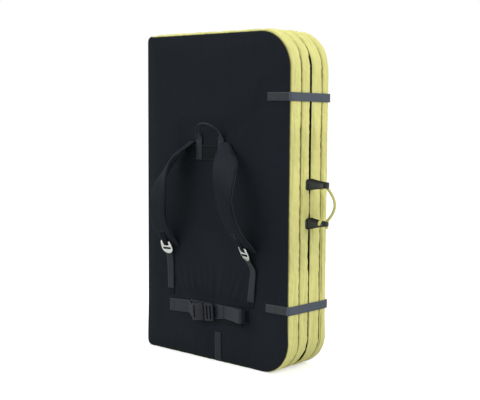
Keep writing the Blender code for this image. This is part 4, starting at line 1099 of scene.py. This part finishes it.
def make_handle(half, sign):
    """Two webbing tabs that close round a bowed rope."""
    side = half.name
    body = side + "_handle"
    pivot = joint_place(body + "_swing")
    lean = radians(HANDLE_LEAN[side]) * sign
    outward = Vector((cos(lean), sin(lean), 0))
    aside = Vector((-sin(lean), cos(lean), 0))
    reach = HANDLE_REACH[side]
    ply, play, gap = mm(1.5, 0.6, 1)
    flat = (ply + 0.5 * MM) / 2
    ring = (ROPE_DIAMETER + ply) / 2 + play
    throat = reach - ring

    def spot(out, before, z):
        point = pivot + outward * out + aside * before
        return point.x, point.y, z

    leg = [(-0.6 * MM, flat * 0.6), (0, flat), (throat * 0.3, flat), (throat * 0.55, flat),
           (throat * 0.82, flat * 1.05)]
    turns = [radians(138 - 276 * i / 12) for i in range(13)]
    plan = (leg + [(reach + ring * cos(angle), ring * sin(angle)) for angle in turns]
            + [(along, -across) for along, across in reversed(leg)])
    outside = SEAT_LIFT if sign < 0 else -SEAT_LIFT
    sewing = Sewing(body)
    for level, tip, fall in (("upper", HANDLE_TAB_TIP, -1.2 * MM),
                             ("lower", HANDLE_TAB_TIP * 0.75, 1.0 * MM)):
        rows = []
        for along, across in plan:
            share = max(along, 0) / (reach + ring)
            width = HANDLE_TAB_BASE + (tip - HANDLE_TAB_BASE) * share ** 0.8
            point = Vector(spot(along, across, HANDLE_HEIGHTS[level] + fall * share))
            rows.append((point, UP, width))
        tab = make_webbing(body + "_" + level + "_tab", rows, TAB_WEBBING, body, steps=3, fine=2.5,
                           columns=8)
        sewing.box(tab, tab.length - throat * 0.95, tab.length - throat * 0.30, outside)
        sewing.box(tab, throat * 0.30, throat * 0.95, -outside)
    sewing.done()
    top = HANDLE_HEIGHTS["upper"] + 2 * MM
    bottom = HANDLE_HEIGHTS["lower"] - HANDLE_TAB_TIP / 2 - 5 * MM
    bow_top = HANDLE_HEIGHTS["upper"] - HANDLE_TAB_TIP / 2 - gap
    bow_bottom = HANDLE_HEIGHTS["lower"] + HANDLE_TAB_TIP / 2 + gap
    points = []
    for i in range(31):
        z = top + (bottom - top) * i / 30
        share = min(max((bow_top - z) / (bow_top - bow_bottom), 0), 1)
        points.append(spot(reach + HANDLE_BOW[side] * sin(pi * share) ** 0.9, 0, z))
    if side == "front":
        points = [point for point in points if point[2] > bow_bottom]
        points += [spot(reach - inward * MM, -before * MM, bow_bottom + z * MM)
                   for inward, before, z in ((0.0, 3.5, 0), (-0.5, 5.5, -3.5), (0.0, 6.5, -6.5),
                                             (0.5, 6.5, -8.5))]
    make_tube(body + "_rope_sheath", points, ROPE_DIAMETER / 2 + 0.5 * MM, ROPE_SHEATH, body,
              [body + "_rope"], ends=0.80)


def make_handle_seats(half, sign, sewing):
    """Patches that join the handle's tabs to the wall."""
    start, end = half.walls["inner"]
    middle = (FOLD_Y + sign * HANDLE_BASE_OFFSET[half.name] - half.skin) * half.inward
    for level, z in HANDLE_HEIGHTS.items():
        rows = []
        for step, share in ((-10, 0.70), (-7, 0.82), (-4, 0.94), (-1, 1.0), (2, 1.0), (4, 1.0)):
            depth = middle + step * MM
            near = min(depth - start, end - depth)
            dip = (6 if depth - start < end - depth else 7.5) * MM
            rows.append((half.at(SIDE_X - dip * drawn_in(near) + 0.9 * MM, z, depth), UP,
                         HANDLE_TAB_BASE * share))
        seat = make_webbing(None, rows, TAB_WEBBING, half.body,
                            half.name + "_handle_" + level + "_seat", steps=3, fine=2, thickness=1.2)
        sewing.box(seat, 2 * MM, 9 * MM, half.inward * 0.6 * MM, 0.08, False)


make_handle(FRONT, -1)
make_handle(REAR, 1)
make_handle_seats(FRONT, -1, front_sewing)
make_handle_seats(REAR, 1, rear_sewing)


# Yoke and haul loop


def make_yoke(sewing):
    left = HARNESS_X - YOKE_WIDTH / 2
    lift = CLEARANCE + YOKE_THICKNESS / 2
    points = [on_front(left + YOKE_WIDTH * i / 8, YOKE_BOTTOM + YOKE_HEIGHT / 2,
                       lift + 0.3 * MM * abs(sin(i * 1.9))) for i in range(9)]
    yoke = make_webbing("yoke_patch", straight(points, UP, YOKE_HEIGHT), YOKE_CLOTH,
                        name="yoke_cloth", columns=10, thickness=1.8)
    for edge, sign in (("upper", 1), ("lower", -1)):
        hem = [point + UP * (sign * (YOKE_HEIGHT / 2 - 2.5 * MM)) - INTO * (1.1 * MM)
               for point in points]
        make_webbing(None, straight(hem, UP, 4.5 * MM), HEM_CLOTH, name="yoke_" + edge + "_hem",
                     thickness=0.6)
    for side in (-0.455, 0.455):
        sewing.line(yoke, (side, 3 * MM), (side, yoke.length - 3 * MM), -1.5 * MM, 10)
    for along in (3 * MM, 9 * MM, yoke.length - 9 * MM, yoke.length - 3 * MM):
        sewing.line(yoke, (-0.455, along), (0.455, along), -1.1 * MM)


def make_haul_loop(sewing):
    seat = YOKE_THICKNESS + CLEARANCE + SEATED
    for side, sign in SIGNS.items():
        x = LOOP_X + sign * LOOP_FOOT_OUT
        points = run_on(on_front, (x, YOKE_BOTTOM), (x, LOOP_FOOT_TOP), 5, seat)
        foot = make_webbing("haul_loop_" + side + "_foot",
                            straight(points, RIGHT, LOOP_WEBBING_WIDTH), HARNESS_WEBBING)
        sewing.box(foot, 3 * MM, 24 * MM)
        sewing.box(foot, 26 * MM, 44 * MM)
    pivot = joint_place("haul_loop_swing")
    climb = [(-1.0, 0.00, 0.00), (-1.06, 0.22, 0.16), (-1.0, 0.48, 0.40), (-0.78, 0.74, 0.68),
             (-0.42, 0.94, 0.92)]
    table = climb + [(0.0, 1.00, 1.00)] + [(-out, rise, bow) for out, rise, bow in reversed(climb)]
    rows = []
    for i, (out, rise, bow) in enumerate(table):
        angle = pi * i / (len(table) - 1)
        point = pivot + Vector((out * LOOP_FOOT_OUT, -bow * LOOP_BOW, rise * LOOP_RISE))
        point.x += 5 * MM * sin(pi * rise) * (1 if out < 0 else 0.3)
        hand = 1 - 0.55 * eased(rise, 0.05, 0.40)
        rows.append((point, Vector((cos(angle), sin(angle), 0)), LOOP_WEBBING_WIDTH * hand))
    loop = make_webbing("haul_loop", rows, HARNESS_WEBBING, "haul_loop", steps=5, columns=8,
                        cup=3.0 * MM)
    grip = Sewing("haul_loop")
    for start, end in (mm(3, 12), (loop.length - 12 * MM, loop.length - 3 * MM)):
        grip.box(loop, start, end, cross=False)
    grip.done()


make_yoke(front_sewing)
make_haul_loop(front_sewing)


# Padded shoulder straps: drop, sideways spread, bow, turn of each, width, thickness
STRAP_TABLE = (
    (0.000, 0.00, 0.00, 14, 0, 0.40, 0.36),
    (0.082, 0.24, 0.28, 48, 28, 0.72, 0.72),
    (0.167, 0.48, 0.54, 56, 38, 1.02, 0.92),
    (0.280, 0.62, 0.77, 42, 30, 1.02, 1.00),
    (0.400, 0.73, 0.94, 14, 8, 0.98, 1.00),
    (0.520, 0.80, 1.00, -6, -6, 0.96, 1.00),
    (0.660, 0.89, 0.93, -10, -10, 0.97, 1.00),
    (0.766, 0.95, 0.78, -10, -10, 1.00, 1.00),
    (0.857, 0.98, 0.54, -8, -8, 1.00, 1.00),
    (0.933, 1.00, 0.26, -4, -4, 1.00, 0.92),
    (1.000, 1.00, 0.03, 0, 0, 0.96, 0.70),
)
STRAP_STEPS = 9


def strap_frames(side, sign):
    """Point, direction across, facing direction, width and thickness down one shoulder strap."""
    root_lift = CLEARANCE + STRAP_THICKNESS * STRAP_TABLE[0][-1] / 2
    if side == "right":
        root_lift += YOKE_THICKNESS + CLEARANCE * 2 + WEBBING_THICKNESS
    root = on_front(HARNESS_X, STRAP_TOP, root_lift)
    rows = []
    for drop, spread, bow, left, right, width, thick in smoothed(STRAP_TABLE, STRAP_STEPS):
        out = STRAP_ROOT_OUT + (STRAP_END_OUT[side] - STRAP_ROOT_OUT) * spread
        turn = radians(left if side == "left" else right)
        point = Vector((HARNESS_X + sign * out, root.y - STRAP_BOW[side] * bow,
                        STRAP_TOP - (STRAP_TOP - STRAP_END[side]) * drop))
        rows.append((point, Vector((cos(turn), sign * sin(turn), 0)), width, thick))
    frames = []
    last = len(rows) - 1
    for i, (point, across, width, thick) in enumerate(rows):
        along = (rows[min(i + 1, last)][0] - rows[max(i - 1, 0)][0]).normalized()
        frames.append((point, across, along.cross(across).normalized(), STRAP_WIDTH * width,
                       STRAP_THICKNESS * thick))
    return frames


def make_shoulder_strap(side, frames):
    """A flat padded tube with a sewn channel near each edge, and its piping."""
    count = len(frames) - 1

    def place(u, v):
        point, across, facing, width, thick = frames[round(v * count)]
        a = cos(2 * pi * u)
        b = sin(2 * pi * u)
        wide = abs(a) ** 0.62 * (1 if a > 0 else -1)
        deep = abs(b) ** 0.75 * (1 if b > 0 else -1)
        channel = exp(-((abs(wide) - 0.80) / 0.035) ** 2) * 0.22
        flat = deep * thick / 2 * (1 - channel)
        return (point + across * (wide * width / 2) + facing * flat,
                (wide * width / 2, v * 0.38 + (0.5 if b < 0 else 0)))

    node = side + "_shoulder_strap"
    body = side + "_strap"
    pad = piece(node + "_pad", warped_grid(36, count, place, tube=True), STRAP_SHELLS[side], body,
                [node])
    for edge, word in ((-1, "inner"), (1, "outer")):
        line = [point + across * (edge * width / 2) + facing * (thick * 0.02)
                for point, across, facing, width, thick in frames[::3]]
        make_tube(body + "_" + word + "_piping", line, 1.5 * MM, BINDING, body, around=8, ends=0.3)
    return pad


class Hook:
    """Where a shoulder strap's hook buckle hangs."""

    def __init__(self, side, sign):
        tilt = radians(HOOK_TILT)
        turn = radians(HOOK_TURN[side])
        self.centre = Vector((HARNESS_X + sign * STRAP_END_OUT[side],
                              FRONT_SKIN - HOOK_CENTRE_LIFT, STRAP_END[side] - HOOK_DROP))
        self.across = Vector((cos(turn), sin(turn), 0))
        self.upward = Vector((sin(turn) * sin(tilt), -cos(turn) * sin(tilt), cos(tilt)))
        behind = self.across.cross(self.upward)
        self.behind = behind if behind.y > 0 else -behind

    def at(self, above, back):
        return self.centre + self.upward * above + self.behind * back


def make_hanger(side, hook, frames):
    """Webbing sewn to the strap's lower end that runs through the hook's notch."""
    body = side + "_strap"
    rows = []
    for i in range(7 * STRAP_STEPS + 3, 8 * STRAP_STEPS + 1, 3):
        point, across, front, width, thick = frames[i]
        rows.append((point + front * (thick / 2 + 1.2 * MM), across, HANGER_WIDTH))
    rows.append((hook.at(HOOK_NECK_HEIGHT + 3 * MM, -2.2 * MM), hook.across, 19 * MM))
    rows += [(hook.at(HOOK_NECK_HEIGHT * above, -forward * MM), hook.across, width * MM)
             for above, forward, width in ((0.72, 2.4, 16), (0.45, 1.7, 15.5), (0.37, 0.0, 15.5),
                                           (0.45, -1.8, 15.5), (0.80, -2.6, 16))]
    hanger = make_webbing(body + "_hanger", rows, DARK_AND_SHADED_WEBBING, body, fine=2.5)
    sewing = Sewing(body)
    sewing.box(hanger, 2 * MM, 20 * MM)
    sewing.done()


def make_lower_webbing(side, sign, hook, sewing):
    """The webbing from its anchor up to the hook, its bight on the bar, the hook, the anchor."""
    body = side + "_lower"
    anchor_x = HARNESS_X + sign * LOWER_ANCHOR_OUT[side]
    lift = SEATED + CLEARANCE + WEBBING_THICKNESS
    pivot = on_front(anchor_x, LOWER_ANCHOR_HEIGHT, lift)
    gap = HOOK_THICKNESS / 2 + SEATED
    tail = hook.at(-(HOOK_WIDTH / 2 + 5 * MM), gap)
    rows = []
    for height, bow, away in ((0.0, 0.0, 0.0), (0.2, 0.25, 0.4), (0.42, 0.55, 0.9),
                              (0.62, 0.85, 1.3), (0.82, 1.0, 2.0)):
        x = anchor_x + (hook.centre.x - anchor_x) * height + sign * LOWER_SIDE_BOW[side] * bow
        z = pivot.z + (tail.z - pivot.z) * height
        rows.append((on_front(x, z, lift * (1 + away)), RIGHT.lerp(hook.across, height),
                     WEBBING_WIDTH))
    rows += [(hook.at(above * MM, back), hook.across, WEBBING_WIDTH)
             for above, back in ((-25, gap), (-15, gap), (-6, gap * 0.9), (-1.5, 0.6 * MM),
                                 (1.0, 0.4 * MM), (1.8, 3.4 * MM), (-7, 3.9 * MM))]
    make_webbing(body + "_webbing", rows, HARNESS_WEBBING, body, body + "_webbing_run", steps=5,
                 fine=3)
    # The bight round the hook's bar is the run's own webbing in the darker finish: painted shade
    # inside the hook.
    rows = [(hook.at(above * MM, -front * MM), hook.across, WEBBING_WIDTH)
            for above, front in ((-3.4, 0.4), (-3.0, 1.7), (-1.5, 2.5), (0.5, 2.6), (2.2, 1.9),
                                 (2.8, 0.4))]
    make_webbing(None, rows, DARK_AND_SHADED_WEBBING, body, side + "_hook_bight", steps=3, fine=1,
                 thickness=1.2)
    refined(side + "_hook_buckle", HOOK_METAL, body, 0.6, "_plate", 3)
    reach = LOWER_ANCHOR_LENGTH / 2
    points = run_on(on_front, (anchor_x, LOWER_ANCHOR_HEIGHT + reach),
                    (anchor_x, LOWER_ANCHOR_HEIGHT - reach), 4, SEATED)
    anchor = make_webbing(body + "_anchor", straight(points, RIGHT, WEBBING_WIDTH), DARK_AND_SHADED_WEBBING,
                          slot="handle_webbing")
    sewing.box(anchor, 2 * MM, LOWER_ANCHOR_LENGTH - 2 * MM, -SEAT_LIFT)


STRAP_PADS = []
for side, sign in SIGNS.items():
    frames = strap_frames(side, sign)
    hook = Hook(side, sign)
    pad = make_shoulder_strap(side, frames)
    make_hanger(side, hook, frames)
    make_lower_webbing(side, sign, hook, front_sewing)
    STRAP_PADS.append((pad, [vert.index for vert in pad.data.vertices
                             if min(vert.co.z - STRAP_END[side], STRAP_TOP - vert.co.z) < 8 * MM]))


# Waist belt


def on_buckle(along, rise, out):
    middle = Vector((BUCKLE_LEFT + BUCKLE_HOUSING_LENGTH / 2,
                     FRONT_SKIN - BUCKLE_LIFT - BUCKLE_THICKNESS / 2, BUCKLE_HEIGHT))
    return middle + BUCKLE_ALONG * along + BUCKLE_RISE * rise - INTO * out


def make_belt(sewing):
    """The backing and its webbing, the left run to the buckle, the right run and its anchor."""
    ends = BELT_BACKING_LEFT, BELT_BACKING_RIGHT
    middle = (BELT_BACKING_TOP + BELT_BACKING_BOTTOM) / 2
    points = run_on(on_front, (ends[0], middle), (ends[1], middle), 8,
                    CLEARANCE + BELT_BACKING_THICKNESS / 2)
    backing = make_webbing("belt_backing",
                           straight(points, UP, BELT_BACKING_TOP - BELT_BACKING_BOTTOM), YOKE_CLOTH,
                           name="belt_backing_cloth", slot="black_fabric", columns=12,
                           thickness=1.6)
    for side in (-0.46, 0.46):
        sewing.line(backing, (side, 2 * MM), (side, backing.length - 2 * MM), -1.0 * MM, 8)
    high = BELT_BACKING_TOP - 9 * MM
    points = run_on(on_front, (ends[0], high), (ends[1], high), 8,
                    CLEARANCE + BELT_BACKING_THICKNESS + 0.4 * MM)
    make_webbing(None, straight(points, UP, 18 * MM), BELT_WEBBING, name="belt_backing_webbing",
                 thickness=0.8)
    over = BELT_BACKING_THICKNESS + CLEARANCE * 2 + WEBBING_THICKNESS / 2
    end = -BUCKLE_HOUSING_LENGTH / 2
    rows = straight([on_front(BELT_LEFT_END, BELT_LEFT_HEIGHT, SEATED),
                     on_front(BELT_LEFT_END + 30 * MM, BELT_LEFT_HEIGHT + 1.5 * MM, SEATED * 1.2),
                     on_front(-125 * MM, 154.5 * MM, over * 0.9),
                     on_front(BELT_CREST_X, BELT_CREST_HEIGHT, over)], UP, BELT_WIDTH)
    rows += straight([on_buckle(end - BUCKLE_BACK, 0, 0), on_buckle(end + 1.0 * MM, 0, 0)],
                     BUCKLE_RISE, BELT_WIDTH)
    left = make_webbing("belt_left_webbing", rows, BELT_WEBBING, name="belt_left_run", columns=10)
    sewing.box(left, 3 * MM, 34 * MM, -SEAT_LIFT, 0.08)
    start = BUCKLE_LEFT + BUCKLE_HOUSING_LENGTH
    rows = [(on_front(x, z * MM, over + lift * MM), UP, BELT_WIDTH * wide)
            for x, z, lift, wide in ((start, BUCKLE_HEIGHT / MM, 0, 1),
                                     (start + 42 * MM, BUCKLE_HEIGHT / MM + 4, 0, 1),
                                     (start + 56 * MM, 156.5, 2.5, 1.02),
                                     (start + 70 * MM, 158, 3, 1.02),
                                     (BELT_STRAIGHT_END + 1 * MM, BELT_CREASE_HEIGHT / MM, 0.2, 1),
                                     (BELT_STRAIGHT_END + 14 * MM, 160, 6.5, 1))]
    rows.append((Vector((105 * MM, FRONT_SKIN - 19 * MM, 161 * MM)), UP, BELT_WIDTH * 1.03))
    rows += [(Vector((BELT_BOW_X + BELT_TURN * across, FRONT_SKIN - BELT_BOW - BELT_TURN * out,
                      BELT_FLAP_HEIGHT)), UP, BELT_WIDTH * 1.04)
             for across, out in ((0, 0), (0.45, -0.02), (0.8, -0.18), (1, -0.5), (1.02, -0.9))]
    rows += straight([Vector((BELT_BOW_X + 5 * MM, FRONT_SKIN - 14 * MM, 159.5 * MM)),
                      on_front(BELT_ANCHOR_X, BELT_ANCHOR_HEIGHT, over * 2),
                      on_front(BELT_ANCHOR_X, BELT_ANCHOR_HEIGHT, over - WEBBING_THICKNESS / 2)],
                     UP, BELT_WIDTH)
    make_webbing("belt_right_webbing", rows, BELT_WEBBING, name="belt_right_run", columns=10)
    reach = BELT_ANCHOR_LENGTH / 2
    points = run_on(on_front, (BELT_ANCHOR_X - reach, BELT_ANCHOR_HEIGHT),
                    (BELT_ANCHOR_X + reach, BELT_ANCHOR_HEIGHT), 4, SEATED)
    anchor = make_webbing("belt_right_anchor", straight(points, UP, BELT_WIDTH + 3 * MM),
                          DARK_AND_SHADED_WEBBING, name="belt_anchor_patch", slot="handle_webbing", columns=10)
    sewing.box(anchor, 2 * MM, 22 * MM, -SEAT_LIFT, 0.07)


make_belt(front_sewing)
for part, body in (("buckle_housing", "front_half"), ("buckle_frame", "belt_frame"),
                   ("upper_prong", "upper_prong"), ("lower_prong", "lower_prong")):
    refined("belt_" + part, BUCKLE_PLASTIC, body, 0.5, "_moulding")

# Near-black strips in the buckle's slots: painted shade inside the slots.
FRAME_MIDDLE = (BUCKLE_HOUSING_LENGTH + BUCKLE_FRAME_LENGTH) / 2 + BUCKLE_PLAY
FRAME_OUT = BUCKLE_FRAME_THICKNESS / 2 - 0.6 * MM
for name, body, along, out, width, height in (
        ("housing", "front_half", -13 * MM, BUCKLE_THICKNESS / 2 + 0.1 * MM, 3.6, 38 * MM),
        ("frame_near", "belt_frame", FRAME_MIDDLE + BUCKLE_FRAME_LENGTH * -0.14, FRAME_OUT, 4.8,
         BELT_WIDTH),
        ("frame_far", "belt_frame", FRAME_MIDDLE + BUCKLE_FRAME_LENGTH * 0.22, FRAME_OUT, 4.8,
         BELT_WIDTH)):
    points = [on_buckle(along, height * (0.5 - i / 4), out) for i in range(5)]
    make_webbing(None, straight(points, BUCKLE_ALONG, width * MM), SLOT_SHADE, body,
                 "buckle_" + name + "_slot", thickness=0.8)

points = [on_front(BOTTOM_TAB_X, z, SEATED) for z in BOTTOM_TAB_HEIGHTS]
tab = make_webbing("bottom_tab", straight(points, RIGHT, WEBBING_WIDTH), LOW_WEBBING)
front_sewing.box(tab, 3 * MM, 24 * MM, -SEAT_LIFT)
front_sewing.done()
rear_sewing.done()

# The cloth's own swelling, then its thickness
puff(SWOLLEN_BASES, 2.5, 0.002, 3.5 * MM)
puff(SWOLLEN_WALLS, 4.0, 0.010, 4.0 * MM)
puff(STRAP_PADS, 5.0, 0.012, 4.0 * MM)
for item, held in SWOLLEN_BASES + SWOLLEN_WALLS:
    for vert in item.data.vertices:
        vert.co.z = max(vert.co.z, 0)
        vert.co.x = max(vert.co.x, FOLD_X + 0.5 * MM)
    dress(item, 1.2 * MM, 1)
for item, held in STRAP_PADS:
    dress(item, 0, 1)


# Floor, light and camera


def put(name, data, matrix=None):
    item = bpy.data.objects.new(name, data)
    if matrix:
        item.matrix_world = matrix
    bpy.context.scene.collection.objects.link(item)
    return item


def seen_directly(wire):
    """1 for what the camera, a mirror or clear stuff shows, 0 for the light on the object."""
    outputs = wire.node("LightPath").socket.node.outputs
    seen, mirrored, through = (Wire(wire.tree, outputs[name]) for name in
                               ("Is Camera Ray", "Is Glossy Ray", "Is Transmission Ray"))
    return wire.maths("MAXIMUM", wire.maths("MAXIMUM", seen, mirrored), through)


def make_floor():
    shape = bmesh.new()
    bmesh.ops.create_grid(shape, x_segments=1, y_segments=1, size=40)
    mesh = bpy.data.meshes.new("floor")
    shape.to_mesh(mesh)
    shape.free()
    make = Finish("floor_finish", Roughness=1.0, Specular_IOR_Level=0.0, Emission_Strength=1.0)
    lift = make.mix(seen_directly(make), shade((1, 1, 1), 0), shade((1, 1, 1), 0.52))
    make.tree.links.new(lift.socket, make.shader.inputs["Emission Color"])
    mesh.materials.append(make.done(make.mix(make.noise(make.object_place(), 3.0),
                                             shade((1, 1, 1), 0.74), shade((1, 1, 1), 0.76))))
    put("floor", mesh, Matrix.Translation((0, 0, -0.2 * MM)))


def make_world(strength):
    """White where it is seen, and that strong as light."""
    world = bpy.data.worlds.new("studio")
    bpy.context.scene.world = world
    world.use_nodes = True
    tree = world.node_tree
    tree.nodes.clear()
    wire = Wire(tree)
    white = seen_directly(wire)
    level = white + (1 - white) * strength
    glow = wire.node("Background", {}, {"Color": (1, 1, 1, 1), "Strength": level})
    tree.links.new(glow.socket, tree.nodes.new("ShaderNodeOutputWorld").inputs["Surface"])


def make_lamp(name, kind, power, size, place, target):
    """A sun with an angle in degrees or a square panel with a side, which faces the target."""
    lamp = bpy.data.lights.new(name, kind)
    lamp.energy = power
    if kind == "SUN":
        lamp.angle = radians(size)
    else:
        lamp.size = size
    facing = (Vector(target) - Vector(place)).to_track_quat("-Z", "Y").to_matrix().to_4x4()
    put(name, lamp, Matrix.Translation(place) @ facing)


def make_camera(place, lens, yaw, pitch, roll):
    turn, down, tilt = radians(yaw), radians(pitch), radians(roll)
    forward = Vector((-sin(turn) * cos(down), cos(turn) * cos(down), -sin(down)))
    level = Vector((cos(turn), sin(turn), 0))
    right = level * cos(tilt) + level.cross(forward) * sin(tilt)
    data = bpy.data.cameras.new("camera")
    data.sensor_width = 36
    data.lens = lens
    data.clip_end = 100
    axes = Matrix((right, right.cross(forward), -forward)).transposed().to_4x4()
    bpy.context.scene.camera = put("camera", data, Matrix.Translation(place) @ axes)


make_floor()
make_world(0.50)
make_lamp("key", "SUN", 1.55, 50, (0, 0, 0), (0.62, 0.72, -0.62))
make_lamp("side", "AREA", 80, 2.0, (3.2, 0.45, 2.6), (0.3, 0, 0.6))
make_lamp("above", "AREA", 27, 1.6, (0.15, -0.25, 3.6), (0.15, -0.1, 0))
make_camera((1.9875, FRONT_SKIN - 2.13055, 0.7793), 72.44, 41.39, 5.539, 0.368)
bpy.context.scene.view_settings.view_transform = "Standard"
